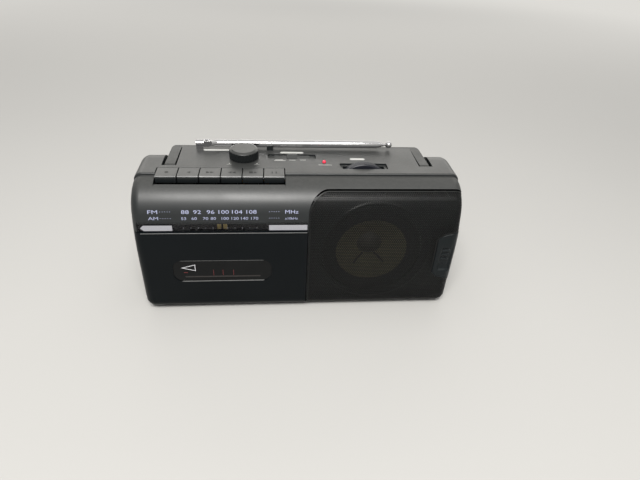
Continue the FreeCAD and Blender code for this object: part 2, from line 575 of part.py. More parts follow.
SPRING_LOW = f"({EAR_LEFT} + DoorEarWidth + Clearance + LugWidth)"
SPRING_HIGH = f"({EAR_LEFT} + DoorEarWidth + DoorPinLength - 1)"
SPRING_INNER = "(DoorPinRadius + SpringPlay)"
SPRING_OUTER = "(DoorPinRadius + SpringPlay + SpringWire * 2)"
spring_coil = cut("SpringCoil", rod("SpringOuter", "x", (DOOR_AXIS_Y, DOOR_AXIS_Z), SPRING_OUTER,
                                    SPRING_LOW, SPRING_HIGH),
                  rod("SpringInner", "x", (DOOR_AXIS_Y, DOOR_AXIS_Z), SPRING_INNER,
                      f"{SPRING_LOW} - 1", f"{SPRING_HIGH} + 1"))
spring_leg = rod("SpringLeg", "y",
                 (f"{SPRING_LOW} + SpringWire * 2", f"{DOOR_AXIS_Z} - {SPRING_OUTER} + SpringWire / 2"),
                 "SpringWire", DOOR_AXIS_Y, f"{FRONT} + DoorWrap + 4")
door_spring = node(join("door_spring", spring_coil, spring_leg))

# ---- tuning dial: window, pointer and back plate, one behind the other ----

WINDOW_Y = f"({FRONT} + DialFromFront)"
POINTER_Y = f"({FRONT} + DialFromFront + DialThick + DialSpace)"
PLATE_Y = f"({FRONT} + DialFromFront + DialThick + DialSpace + PointerThick + DialSpace)"
CARRIAGE_Y = f"({PLATE_Y} + PointerThick + DialSpace)"
PLATE_TOP = "(DialTop - 1.8)"
BAR_TOP = "(DialTop - 0.3)"

dial_window = node(block("dial_window", (f"{DIAL_LEFT} + 0.1", "DialRight - 0.1"),
                         (WINDOW_Y, f"{WINDOW_Y} + DialThick"),
                         ("DialBottom + 0.1", "DialTop - 0.1")))
plate = block("DialPlateSheet", (f"0 - {END} + WallThickness", DIVIDER_LEFT),
              (PLATE_Y, f"{PLATE_Y} + PointerThick"),
              ("DialBottom + 0.2", PLATE_TOP))
plate_left = block("DialPlateLeft", (f"{DIAL_LEFT} + 0.1", "LabelLeftEnd - 2"),
                   (f"{WINDOW_Y} + DialThick", PLATE_Y),
                   ("DialBottom + 0.2", PLATE_TOP))
plate_right = block("DialPlateRight", ("LabelRightEnd + 2", "DialRight - 0.1"),
                    (f"{WINDOW_Y} + DialThick", PLATE_Y),
                    ("DialBottom + 0.2", PLATE_TOP))
dial_plate = node(common("dial_plate", join("DialPlateSolid", plate, plate_left, plate_right), skin_hollow))

POINTER_LEFT = "(PointerMiddle - PointerWidth / 2)"
POINTER_RIGHT = "(PointerMiddle + PointerWidth / 2)"
pointer_tabs = [
    block("PointerTabLeft", (POINTER_LEFT, "PointerMiddle - PointerGap / 2"),
          (POINTER_Y, f"{POINTER_Y} + PointerThick"),
          ("DialBottom + 1", BAR_TOP)),
    block("PointerTabRight", ("PointerMiddle + PointerGap / 2", POINTER_RIGHT),
          (POINTER_Y, f"{POINTER_Y} + PointerThick"),
          ("DialBottom + 1", BAR_TOP)),
]
pointer_bar = block("PointerBar", (POINTER_LEFT, POINTER_RIGHT),
                    (POINTER_Y, f"{CARRIAGE_Y} + PointerThick"),
                    (f"{PLATE_TOP} + DialSpace", BAR_TOP))
pointer_carriage = block("PointerCarriage", (POINTER_LEFT, POINTER_RIGHT),
                         (CARRIAGE_Y, f"{CARRIAGE_Y} + PointerThick"),
                         ("DialTop - 5", BAR_TOP))
dial_pointer = node(join("dial_pointer", *pointer_tabs, pointer_bar, pointer_carriage))

# ---- speaker grille and microphone cover ----

microphone_hole = prism("MicrophoneHole", "XZ", f"{FRONT} - 1", SEAM, microphone_outline("Clearance"))
grille_sheet = common("GrilleSheetAll", cut("GrilleSkin", skin, skin_sheet, behind_wrap),
                      prism("GrilleArea", "XZ", f"{FRONT} - 1", SEAM, grille_outline("0")))
grille_edge = common("GrilleEdge", cut("GrilleEdgeSkin", skin, skin_hollow),
                     cut("GrilleEdgeRing", prism("GrilleEdgeOuter", "XZ", f"{FRONT} - 1", SEAM,
                                                 grille_outline("0")),
                         prism("GrilleEdgeInner", "XZ", f"{FRONT} - 2", f"{SEAM} + 1",
                               grille_outline("(0 - GrilleSheet)"))))
GRILLE_COLUMNS, GRILLE_ROWS = 12, 12
FIELD_LEFT, FIELD_LOW = "(GrilleLeft + GrilleMargin)", "(FootHeight + GrilleMargin)"
FIELD_WIDE = f"({MIC_LEFT} - GrilleMargin - {FIELD_LEFT})"
FIELD_TALL = f"(GrilleTop - GrilleMargin - {FIELD_LOW})"
field_depth = (f"{FRONT} - 1", f"{FRONT} + GrilleWrap")
grille_field = block("GrilleField", (FIELD_LEFT, f"{FIELD_LEFT} + {FIELD_WIDE}"), field_depth,
                     (FIELD_LOW, f"{FIELD_LOW} + {FIELD_TALL}"))
upright_bars = [block(f"GrilleUpright{index}",
                      (f"{FIELD_LEFT} + {index} / {GRILLE_COLUMNS} * {FIELD_WIDE} - GrilleBar / 2",
                       f"{FIELD_LEFT} + {index} / {GRILLE_COLUMNS} * {FIELD_WIDE} + GrilleBar / 2"),
                      field_depth, (FIELD_LOW, f"{FIELD_LOW} + {FIELD_TALL}"))
                for index in range(1, GRILLE_COLUMNS)]
level_bars = [block(f"GrilleLevel{index}", (FIELD_LEFT, f"{FIELD_LEFT} + {FIELD_WIDE}"), field_depth,
                    (f"{FIELD_LOW} + {index} / {GRILLE_ROWS} * {FIELD_TALL} - GrilleBar / 2",
                     f"{FIELD_LOW} + {index} / {GRILLE_ROWS} * {FIELD_TALL} + GrilleBar / 2"))
              for index in range(1, GRILLE_ROWS)]
grille_openings = cut("GrilleOpenings", grille_field, *upright_bars, *level_bars)
speaker_grille = node(cut("speaker_grille",
                          join("GrilleWhole", grille_sheet, cut("GrilleEdgeTrim", grille_edge,
                                                                behind_wrap)),
                          microphone_hole, grille_openings, above_grille("AboveGrille", "0")))

mic_slots = [block(f"MicSlot{index}", (MIC_SLOT_LEFT, f"{MIC_SLOT_LEFT} + MicSlotLength"),
                   (f"{FRONT} - 1", f"{DOOR_INSIDE} + 1"),
                   (f"MicSlotMiddle + {index - 1} * MicSlotPitch - MicSlotTall / 2",
                    f"MicSlotMiddle + {index - 1} * MicSlotPitch + MicSlotTall / 2")) for index in range(3)]
mic_shell = common("MicShell", cut("MicSkin", shell, behind_wrap),
                   prism("MicArea", "XZ", f"{FRONT} - 1", SEAM, microphone_outline("0")))
MIC_MIDDLE = f"({MIC_SLOT_LEFT} + MicSlotLength / 2)"
mic_posts = [rod(f"MicPost{row}", "y", (MIC_MIDDLE, height), "MicPostRadius", f"{DOOR_INSIDE} - 1", BAFFLE)
             for row, height in (("Low", "MicSlotMiddle - 16"), ("High", "MicSlotMiddle + 14"))]
microphone_cover = node(join("microphone_cover", cut("MicSlotted", mic_shell, *mic_slots), *mic_posts))
microphone_capsule = node(rod("microphone_capsule", "y", (MIC_MIDDLE, "MicSlotMiddle"), "MicCapsuleRadius",
                              f"{DOOR_INSIDE} + 0.1", f"{DOOR_INSIDE} + MicCapsuleLength"))

# ---- speaker ----

SPEAKER_Y = f"({BAFFLE} + WallThickness)"
SPEAKER = ("SpeakerMiddle", "SpeakerHeight")
BASKET_REAR = f"({SPEAKER_Y} + BasketDepth)"
speaker_frame = node(turned("speaker_frame", "y", SPEAKER, [
    ("SurroundRadius - 2", SPEAKER_Y), ("SpeakerRadius", SPEAKER_Y),
    ("SpeakerRadius", f"{SPEAKER_Y} + SpeakerRim"),
    ("SurroundRadius - 1", f"{SPEAKER_Y} + SpeakerRim"), ("BasketRadius + 1", BASKET_REAR),
    ("CapRadius", BASKET_REAR),
    ("CapRadius", f"{BASKET_REAR} - 1"), ("BasketRadius", f"{BASKET_REAR} - 1")]))
speaker_magnet = node(turned("speaker_magnet", "y", SPEAKER, [
    ("0", BASKET_REAR), ("MagnetRadius", BASKET_REAR), ("MagnetRadius", f"{BASKET_REAR} + MagnetThick"),
    ("MagnetRadius - 3", f"{BASKET_REAR} + MagnetThick"),
    ("MagnetRadius - 3", f"{SPEAKER_Y} + SpeakerDepth"),
    ("0", f"{SPEAKER_Y} + SpeakerDepth")]))
surround = turned("SpeakerSurround", "y", SPEAKER, [
    ("ConeRadius", f"{SPEAKER_Y} - 0.8"), ("SurroundRadius", f"{SPEAKER_Y} - 0.8"),
    ("SurroundRadius", SPEAKER_Y),
    ("ConeRadius", SPEAKER_Y)])
cone = turned("SpeakerPaper", "y", SPEAKER, [
    ("CapRadius - 1", f"{BASKET_REAR} - 4"), ("ConeRadius", f"{SPEAKER_Y} - ConeSheet"),
    ("ConeRadius", SPEAKER_Y),
    ("CapRadius - 1", f"{BASKET_REAR} - 3"), ("CapRadius - 2", f"{BASKET_REAR} - 3"),
    ("CapRadius - 2", f"{BASKET_REAR} - 4")])
voice_coil = turned("VoiceCoil", "y", SPEAKER, [
    ("CapRadius - 2", f"{BASKET_REAR} - 4"), ("CapRadius - 1.2", f"{BASKET_REAR} - 4"),
    ("CapRadius - 1.2", BASKET_REAR),
    ("CapRadius - 2", BASKET_REAR)])
speaker_cone = node(join("speaker_cone", cone, surround, voice_coil))
CAP_Y = f"({BASKET_REAR} - 5)"
speaker_dust_cap = node(turned("speaker_dust_cap", "y", SPEAKER, [
    ("0", f"{CAP_Y} - 5"), ("CapRadius", CAP_Y, "CapRadius * 1.7", "left"),
    ("CapRadius - 1", f"{CAP_Y} + 0.6"),
    ("0", f"{CAP_Y} - 4.2", "CapRadius * 1.7", "right")]))

# ---- rear cabinet ----

SLOT_INSIDE = "(HandleArmInside - HandleSide)"
SLOT_OUTSIDE = "(HandleArmInside + HandleArm + HandleSide)"
PIVOT_Y = f"({FRONT} + HandlePivotBack)"
PIVOT_Z = "(CabinetHeight - HandlePivotDown)"
SLOT_FRONT = f"({PIVOT_Y} - HandleThick / 2 - SlotFront)"
ANTENNA_Y = f"({FRONT} + AntennaFromFront)"
ANTENNA_Z = "(CabinetHeight + AntennaUp)"
KNOB_Y = f"({FRONT} + KnobFromFront)"
SLIDER_Y = f"({FRONT} + SliderFromFront)"
LED_Y = f"({FRONT} + LedFromFront)"
WHEEL_Y = f"({FRONT} + WheelFromFront)"
WHEEL_Z = "(CabinetHeight + WheelProud - WheelRadius)"
BOARD_TOP = "(CabinetHeight - BoardDown)"
BOARD_Y = f"({FRONT} + BoardFromFront)"
BATTERY_RIGHT = "(BatteryLeft + BatteryLength)"
BATTERY_FRONT = f"({BACK} - BatteryDeep)"
JACK_Y = f"({FRONT} + JackFromFront)"


def rear_skin(name, inset, front):
    """The solid that the rear encloses, set in by inset: rolled over behind, square between the arms."""
    body = new_body(name)
    end, rear = f"{END} - {inset}", f"{BACK} - {inset}"
    top, bottom = f"{DECK} - {inset}", f"FootHeight + {inset}"
    radius = f"RearRadius - {inset}"
    pad(body, "YZ", f"0 - ({end})", end, [
        (front, bottom), (rear, bottom), (rear, f"{top} - ({radius})"),
        (f"{rear} - ({radius})", top, radius, "left"), (front, top)])
    side, low, back, seam = value(end), value(bottom), value(rear), value(front)
    round_edges(body, f"CornerRadius - {inset}",
                lambda box: near(box.ZMax, low) and near(box.XMin, box.XMax))
    round_edges(body, f"EndRadius - {inset}", lambda box: (
        near(box.YMax, back) and near(box.ZMax, low)
        or near(box.XMin, box.XMax) and near(abs(box.XMin), side) and box.YMax > seam + 1
        or near(box.YMin, back) and box.ZMax < low + value("CornerRadius") + 0.1))
    pad(body, "YZ", f"{inset} - {SLOT_INSIDE}", f"{SLOT_INSIDE} - {inset}",
        rectangle(f"{rear} - ({radius}) - 1", f"{top} - ({radius}) - 1", rear, top))
    return body


LID_AXIS_Y = f"({BACK} - LidThick / 2)"
LID_AXIS_Z = "(BatteryBottom + LidGap + LidThick / 2)"
rear_outer = rear_skin("RearSkin", "0", SEAM)
doc.recompute()
deck_top, middle = value(DECK), value(SLOT_INSIDE)
round_edges(rear_outer, "DeckEdge", lambda box: near(box.ZMin, deck_top) and near(box.ZMax, deck_top)
            and near(box.YMin, box.YMax) and (box.XMax < middle + 0.1 or near(box.YMin, value(SEAM))))
rear_inner = rear_skin("RearHollow", "WallThickness", f"{SEAM} - 1")


def mirrored_blocks(name, low, high, along, up):
    """The same block at both ends of the cabinet."""
    return [block(name + "Left", (f"0 - ({high})", f"0 - ({low})"), along, up),
            block(name + "Right", (low, high), along, up)]


def thick_deck(name, across, along):
    """A thicker patch below the deck."""
    return block(name, across, along, (f"{DECK} - WallThickness - 2.6", f"{DECK} - WallThickness + 0.5"))


troughs = [common(side.Name + "Trimmed", rear_outer, side) for side in mirrored_blocks(
    "Trough", f"{SLOT_INSIDE} - WallThickness", f"{SLOT_OUTSIDE} + WallThickness",
    (f"{SLOT_FRONT} - WallThickness", BACK),
    (f"{DECK} - SlotDeep - WallThickness", DECK))]
slots = mirrored_blocks("HandleSlot", SLOT_INSIDE, SLOT_OUTSIDE, (SLOT_FRONT, f"{BACK} + 1"),
                        (f"{DECK} - SlotDeep", f"{DECK} + 1"))
pivot_bores = [rod(f"PivotBore{name}", "x", (PIVOT_Y, PIVOT_Z), "HandlePinRadius + RunningFit",
                   f"{sign} * {SLOT_OUTSIDE} - WallThickness - HandleArm - 4",
                   f"{sign} * {SLOT_OUTSIDE} + WallThickness + HandleArm + 4")
               for name, sign in (("Left", "-1"), ("Right", "1"))]
battery_box = block("BatteryBox", ("BatteryLeft - BatteryWall", f"{BATTERY_RIGHT} + BatteryWall"),
                    (f"{BATTERY_FRONT} - BatteryWall", f"{BACK} - 1"),
                    ("BatteryBottom - BatteryWall", "BatteryBottom + BatteryHeight + BatteryWall"))
battery_space = block("BatterySpace", ("BatteryLeft", BATTERY_RIGHT), (BATTERY_FRONT, f"{BACK} + 1"),
                      ("BatteryBottom", "BatteryBottom + BatteryHeight"))
key_hole = block("KeyHole", (f"{KEYS_LEFT} - KeyGap", f"{KEYS_RIGHT} + KeyGap"),
                 (f"{SEAM} - 1", f"{KEY_Y} + KeyDepth + 0.5"),
                 (f"{DECK} - WallThickness - 3", f"{DECK} + 1"))
slider_patch = thick_deck("SliderPatch",
                          ("SliderMiddle - SliderWell / 2 - 2", "SliderMiddle + SliderWell / 2 + 2"),
                          (f"{SLIDER_Y} - SliderWide / 2 - 2", f"{SLIDER_Y} + SliderWide / 2 + 2"))
slider_well = prism("SliderWellCut", "XY", f"{DECK} - SliderDeep", f"{DECK} + 1",
                    rectangle("SliderMiddle - SliderWell / 2", f"{SLIDER_Y} - SliderWide / 2",
                              "SliderMiddle + SliderWell / 2", f"{SLIDER_Y} + SliderWide / 2",
                              "WellCorner"))
slider_slot = block("SliderSlot", ("SliderMiddle - SliderStem / 2 - SliderTravel - Clearance",
                                   "SliderMiddle + SliderStem / 2 + SliderTravel + Clearance"),
                    (f"{SLIDER_Y} - 1 - Clearance", f"{SLIDER_Y} + 1 + Clearance"), (f"{DECK} - 8", DECK))
wheel_patch = thick_deck("WheelPatch",
                         ("WheelAcross - WheelWell / 2 - 2", "WheelAcross + WheelWell / 2 + 2"),
                         (f"{WHEEL_Y} - WheelWellWide / 2 - 2", f"{WHEEL_Y} + WheelWellWide / 2 + 2"))
wheel_well = prism("WheelWellCut", "XY", f"{DECK} - WheelWellDeep", f"{DECK} + 1",
                   rectangle("WheelAcross - WheelWell / 2", f"{WHEEL_Y} - WheelWellWide / 2",
                             "WheelAcross + WheelWell / 2", f"{WHEEL_Y} + WheelWellWide / 2", "WellCorner"))
wheel_slot = block("WheelSlot", ("WheelAcross - WheelRadius * 0.8", "WheelAcross + WheelRadius * 0.8"),
                   (f"{WHEEL_Y} - WheelThick / 2 - Clearance", f"{WHEEL_Y} + WheelThick / 2 + Clearance"),
                   (f"{DECK} - 8", DECK))
drum_slot = block("DrumSlot", ("WheelAcross - WheelRadius * 0.6", "WheelAcross + WheelRadius * 0.6"),
                  (f"{WHEEL_Y}", f"{WHEEL_Y} + WheelThick / 2 + DrumThick + 1"),
                  (f"{DECK} - 8", f"{DECK} - WallThickness"))
clip = cut("Clip", block("ClipBlock", ("ClipAcross - ClipWide / 2", "ClipAcross + ClipWide / 2"),
                         (f"{ANTENNA_Y} - AntennaRadius - 1.7", f"{BACK} - 1"), (f"{DECK} - 1", ANTENNA_Z)),
           rod("ClipBore", "x", (ANTENNA_Y, ANTENNA_Z), "AntennaRadius + ClipFit", "ClipAcross - ClipWide",
               "ClipAcross + ClipWide"))
board_posts = [rod(f"BoardPost{index}", "z", (across, along), "BoardPost", BOARD_TOP, f"{DECK} - 1")
               for index, (across, along) in enumerate(
                   (side, place) for side in ("BoardLeft + BoardPost", "BoardRight - BoardPost")
                   for place in (f"{BOARD_Y} + BoardPost", f"{BOARD_Y} + BoardWide - BoardPost"))]
rear_solid = join("RearSolid", cut("RearShell", rear_outer, rear_inner), *troughs, battery_box,
                  slider_patch, wheel_patch,
                  clip, *board_posts, *screw_bosses("RearBoss", SEAM, f"{BACK} - 1"))
rear_cabinet = node(cut(
    "rear_cabinet", rear_solid, *slots, *pivot_bores, battery_space, key_hole, slider_well, slider_slot,
    wheel_well,
    wheel_slot, drum_slot,
    rod("KnobHole", "z", ("KnobAcross", KNOB_Y), "KnobStem + Clearance", f"{DECK} - 8", f"{DECK} + 1"),
    rod("LedHole", "z", ("LedAcross", LED_Y), "LedRadius + 0.1", f"{DECK} - 8", f"{DECK} + 1"),
    rod("LidBore", "x", (LID_AXIS_Y, LID_AXIS_Z), "LidPin + RunningFit",
        "BatteryLeft - 1.4", f"{BATTERY_RIGHT} + 1.4"),
    rod("JackHole", "x", (JACK_Y, "JackHeight"), "JackNose + 0.1", f"0 - {END} - 1",
        f"0 - {END} + WallThickness + 1"),
    block("InletHole", (f"{INLET_ACROSS} - InletLength / 2", f"{INLET_ACROSS} + InletLength / 2"),
          (f"{BACK} - WallThickness - 1", f"{BACK} + 1"),
          ("InletHeight - InletTall / 2", "InletHeight + InletTall / 2")),
    *screw_bores("RearBore", "ScrewRadius + 0.2", f"{SEAM} - 1", f"{BACK} + 1"),
    *screw_bores("RearSink", "ScrewHeadRadius + 0.3", f"{SEAM} + ScrewSeat", f"{BACK} + 1")))

# ---- carrying handle: a bail whose moulded pins turn in the slot walls ----

GRIP_FRONT = f"({PIVOT_Y} + HandleReach - GripThick / 2)"
GRIP_REAR = f"({PIVOT_Y} + HandleReach + GripThick / 2)"
GRIP_Z = "(CabinetHeight - GripDown)"
arm_out = "HandleArmInside + HandleArm"
handle_plan = prism("HandlePlan", "XY", f"{DECK} - 30", f"{DECK} + 10", [
    (f"0 - ({arm_out})", f"{PIVOT_Y} - HandleThick"), ("0 - HandleArmInside", f"{PIVOT_Y} - HandleThick"),
    ("0 - HandleArmInside", GRIP_FRONT), ("HandleArmInside", GRIP_FRONT),
    ("HandleArmInside", f"{PIVOT_Y} - HandleThick"),
    (arm_out, f"{PIVOT_Y} - HandleThick"), (arm_out, f"{GRIP_REAR} - HandleCorner"),
    (f"{arm_out} - HandleCorner", GRIP_REAR, "HandleCorner", "left"),
    (f"HandleCorner - ({arm_out})", GRIP_REAR),
    (f"0 - ({arm_out})", f"{GRIP_REAR} - HandleCorner", "HandleCorner", "left")])
handle_side = prism("HandleSideView", "YZ", f"0 - ({arm_out}) - 1", f"{arm_out} + 1", [
    (PIVOT_Y, f"{PIVOT_Z} + HandleThick / 2"),
    (f"{PIVOT_Y} - HandleThick / 2", PIVOT_Z, "HandleThick / 2", "left"),
    (PIVOT_Y, f"{PIVOT_Z} - HandleThick / 2", "HandleThick / 2", "left"),
    (GRIP_FRONT, f"{GRIP_Z} - GripTall / 2"), (f"{GRIP_REAR} - 2.5", f"{GRIP_Z} - GripTall / 2"),
    (GRIP_REAR, f"{GRIP_Z} - GripTall / 2 + 2.5", "2.5", "left"),
    (GRIP_REAR, f"{GRIP_Z} + GripTall / 2 - 2.5"),
    (f"{GRIP_REAR} - 2.5", f"{GRIP_Z} + GripTall / 2", "2.5", "left"),
    (GRIP_FRONT, f"{GRIP_Z} + GripTall / 2")])
handle_pins = [rod(f"HandlePin{name}", "x", (PIVOT_Y, PIVOT_Z), "HandlePinRadius", low, high) for name,
               low, high in (
    ("Left", f"0 - {SLOT_OUTSIDE} - WallThickness", f"0 - {SLOT_INSIDE} + WallThickness"),
    ("Right", f"{SLOT_INSIDE} - WallThickness", f"{SLOT_OUTSIDE} + WallThickness"))]
handle = node(join("handle", common("HandleBail", handle_plan, handle_side), *handle_pins))

# ---- keys: six caps on one shaft ----

KEY_AXIS_Y = f"({KEY_Y} + KeyDepth + KeyAxisBack)"
KEY_AXIS_Z = "(CabinetHeight - KeyAxisDown)"
KEY_NAMES = ("key_record", "key_play", "key_rewind", "key_fast_forward", "key_stop_eject", "key_pause")


def make_key(name, index):
    """A key: a cap, an arm back to the shaft and a foot that works the mechanism."""
    left = f"({KEYS_LEFT} + {index} * KeyPitch)"
    right = f"({left} + KeyPitch - KeyGap)"
    arm_left, arm_right = f"({left} + {right} - KeyArmWidth) / 2", f"({left} + {right} + KeyArmWidth) / 2"
    under = f"{DECK} - KeyThick"
    cap = prism(name + "Cap", "YZ", left, right, [
        (KEY_Y, under), (f"{KEY_Y} + KeyDepth", under), (f"{KEY_Y} + KeyDepth", DECK),
        (f"{KEY_Y} + KeyChamfer", DECK), (KEY_Y, f"{DECK} - KeyChamfer")])
    arm = block(name + "Arm", (arm_left, arm_right), (f"{KEY_AXIS_Y} - 8", KEY_AXIS_Y),
                (f"{KEY_AXIS_Z} - KeyBoss", f"{KEY_AXIS_Z} + KeyBoss"))
    neck = block(name + "Neck", (arm_left, arm_right), (f"{KEY_AXIS_Y} - 8", f"{KEY_Y} + KeyDepth"),
                 (KEY_AXIS_Z, f"{under} + 1"))
    foot = block(name + "Foot", (arm_left, arm_right), (f"{KEY_AXIS_Y} - 5", f"{KEY_AXIS_Y} - 2"),
                 (f"{KEY_AXIS_Z} - KeyFoot", KEY_AXIS_Z))
    boss = rod(name + "Boss", "x", (KEY_AXIS_Y, KEY_AXIS_Z), "KeyBoss", arm_left, arm_right)
    bore = rod(name + "Bore", "x", (KEY_AXIS_Y, KEY_AXIS_Z), "KeyShaftRadius + RunningFit",
               f"{left} - 1", f"{right} + 1")
    return node(cut(name, join(name + "Solid", cap, arm, neck, foot, boss), bore))


for index, name in enumerate(KEY_NAMES):
    make_key(name, index)
SHAFT_LEFT = f"({KEYS_LEFT} - BracketSheet - 1.2)"
SHAFT_RIGHT = f"({KEYS_RIGHT} + BracketSheet + 1.2)"
key_shaft = node(rod("key_shaft", "x", (KEY_AXIS_Y, KEY_AXIS_Z), "KeyShaftRadius", SHAFT_LEFT, SHAFT_RIGHT))
bracket_ends = [block(f"KeyBracket{name}", (low, f"{low} + BracketSheet"),
                      (f"{KEY_AXIS_Y} - 3.5", f"{KEY_AXIS_Y} + 3"),
                      (f"{KEY_AXIS_Z} - KeyFoot - 3", UNDER_DECK)) for name, low in (
                          ("Left", SHAFT_LEFT), ("Right", f"{SHAFT_RIGHT} - BracketSheet"))]
bracket_rail = block("KeyBracketRail", (SHAFT_LEFT, SHAFT_RIGHT),
                     (f"{KEY_AXIS_Y} + 3 - BracketSheet", f"{KEY_AXIS_Y} + 3"),
                     (f"{KEY_AXIS_Z} - KeyFoot - 3", f"{KEY_AXIS_Z} - 8"))
key_bracket = node(cut("key_bracket", join("KeyBracketSheet", *bracket_ends, bracket_rail),
                       rod("KeyBracketBore", "x", (KEY_AXIS_Y, KEY_AXIS_Z), "KeyShaftRadius",
                           f"{SHAFT_LEFT} - 1", f"{SHAFT_RIGHT} + 1")))

# ---- controls on the deck ----

KNOB_TOP = "(CabinetHeight + KnobHeight)"
KNOB_LOW = "(CabinetHeight + KnobLift)"
STEM_LOW = "(CabinetHeight - KnobStemLength)"
knob = turned("volume_knob", "z", ("KnobAcross", KNOB_Y), [
    ("0", STEM_LOW), ("KnobStem", STEM_LOW), ("KnobStem", KNOB_LOW), ("KnobRadius", KNOB_LOW),
    ("KnobRadius", f"{KNOB_TOP} - 1.6"), ("KnobRadius - 0.6", f"{KNOB_TOP} - 1"),
    ("KnobRadius - 2.6", KNOB_TOP), ("0", KNOB_TOP)])
flute = sketch_in(knob, "XY", [("circle", "KnobRadius + FluteOut", "0", "FluteRadius")],
                  ("KnobAcross", KNOB_Y, KNOB_LOW))
flute_cut = knob.newObject("PartDesign::Pocket", "KnobFlute")
flute_cut.Profile = flute
flute_cut.setExpression("Length", formula("KnobHeight - KnobLift - 1.6"))
flute_cut.Reversed = True
flutes = knob.newObject("PartDesign::PolarPattern", "KnobFluteRing")
flutes.Originals = [flute_cut]
flutes.Axis = (flute, ["N_Axis"])
flutes.Angle = 360
flutes.setExpression("Occurrences", formula("KnobFlutes"))
knob.Tip = flutes
volume_knob = node(knob)
pot_body = rod("PotBody", "z", ("KnobAcross", KNOB_Y), "PotRadius", BOARD_TOP, f"{BOARD_TOP} + PotHeight")
pot_neck = rod("PotNeckRod", "z", ("KnobAcross", KNOB_Y), "PotNeck", f"{BOARD_TOP} + 1", UNDER_DECK)
volume_potentiometer = node(cut("volume_potentiometer", join("PotSolid", pot_body, pot_neck),
                                rod("PotBore", "z", ("KnobAcross", KNOB_Y), "KnobStem + RunningFit",
                                    f"{STEM_LOW} - 0.5", DECK)))

SLIDER_LOW = f"({DECK} - SliderDeep + 0.1)"
STEM_END = f"({BOARD_TOP} + SwitchHeight - 2)"
slider_plate = prism("SliderPlateBody", "XY", SLIDER_LOW, f"{SLIDER_LOW} + 1.1",
                     rectangle("SliderMiddle - SliderPlate / 2", f"{SLIDER_Y} - SliderWide / 2 + 1",
                               "SliderMiddle + SliderPlate / 2", f"{SLIDER_Y} + SliderWide / 2 - 1", "1"))
slider_thumb = prism("SliderThumb", "YZ", "SliderMiddle - ThumbLength / 2",
                     "SliderMiddle + ThumbLength / 2", [
    (f"{SLIDER_Y} - SliderWide / 2 + 0.8", SLIDER_LOW), (f"{SLIDER_Y} + SliderWide / 2 - 0.8", SLIDER_LOW),
    (f"{SLIDER_Y} + SliderWide / 2 - 0.8", f"{DECK} - 0.2"), (f"{SLIDER_Y} + 1", f"{DECK} + ThumbHeight"),
    (f"{SLIDER_Y} - 1", f"{DECK} + ThumbHeight"), (f"{SLIDER_Y} - SliderWide / 2 + 0.8", f"{DECK} - 0.2")])
slider_stem = block("SliderStemBlock", ("SliderMiddle - SliderStem / 2", "SliderMiddle + SliderStem / 2"),
                    (f"{SLIDER_Y} - 1", f"{SLIDER_Y} + 1"), (STEM_END, f"{SLIDER_LOW} + 1"))
function_slider = node(join("function_slider", slider_plate, slider_thumb, slider_stem))
switch_case = block("SwitchCase", ("SliderMiddle - SwitchLength / 2", "SliderMiddle + SwitchLength / 2"),
                    (f"{SLIDER_Y} - 3.5", f"{SLIDER_Y} + 3.5"), (BOARD_TOP, f"{BOARD_TOP} + SwitchHeight"))
switch_slot = block("SwitchSlot", ("SliderMiddle - SliderStem / 2 - SliderTravel - Clearance",
                                   "SliderMiddle + SliderStem / 2 + SliderTravel + Clearance"),
                    (f"{SLIDER_Y} - 1.3", f"{SLIDER_Y} + 1.3"),
                    (f"{STEM_END} - Clearance", f"{BOARD_TOP} + SwitchHeight + 1"))
function_switch = node(cut("function_switch", switch_case, switch_slot))

led_body = rod("LedBody", "z", ("LedAcross", LED_Y), "LedRadius", f"{DECK} - 6", f"{DECK} + LedProud")
led_dome = ball("LedDome", ("LedAcross", LED_Y, f"{DECK} + LedProud"), "LedRadius")
led_rim = rod("LedRim", "z", ("LedAcross", LED_Y), "LedRadius + 0.5", f"{DECK} - 7", f"{DECK} - 6")
led_legs = [block(f"LedLeg{name}", (f"LedAcross + {place} - 0.25", f"LedAcross + {place} + 0.25"),
                  (f"{LED_Y} - 0.25", f"{LED_Y} + 0.25"),
                  (BOARD_TOP, f"{DECK} - 6.5")) for name,
            place in (("Left", "0 - LedLeads / 2"), ("Right", "LedLeads / 2"))]
power_led = node(join("power_led", led_body, led_dome, led_rim, *led_legs))

WHEEL_FRONT = f"({WHEEL_Y} - WheelThick / 2)"
WHEEL_REAR = f"({WHEEL_Y} + WheelThick / 2)"
SHAFT_END = f"({WHEEL_REAR} + DrumThick + WheelShaftLength)"
tuning_wheel = node(turned("tuning_wheel", "y", ("WheelAcross", WHEEL_Z), [
    ("0", WHEEL_FRONT), ("WheelRadius - 0.8", WHEEL_FRONT), ("WheelRadius", f"{WHEEL_FRONT} + 0.8"),
    ("WheelRadius", f"{WHEEL_REAR} - 0.8"), ("WheelRadius - 0.8", WHEEL_REAR), ("DrumRadius", WHEEL_REAR),
    ("DrumRadius", f"{WHEEL_REAR} + DrumThick"), ("WheelShaftRadius", f"{WHEEL_REAR} + DrumThick"),
    ("WheelShaftRadius", SHAFT_END), ("0", SHAFT_END)]))
TUNER_Y = f"({WHEEL_REAR} + DrumThick + TunerGap)"
tuning_capacitor = node(cut("tuning_capacitor", block(
    "TunerCase", ("WheelAcross - TunerSide / 2", "WheelAcross + TunerSide / 2"),
    (TUNER_Y, f"{TUNER_Y} + TunerDeep"),
    (f"{WHEEL_Z} - TunerSide / 2", f"{WHEEL_Z} + TunerSide / 2")),
    rod("TunerBore", "y", ("WheelAcross", WHEEL_Z), "WheelShaftRadius + RunningFit", f"{TUNER_Y} - 1",
        f"{SHAFT_END} + 0.5")))

# ---- dial cord: round the drum, forward past the divider and along the dial ----

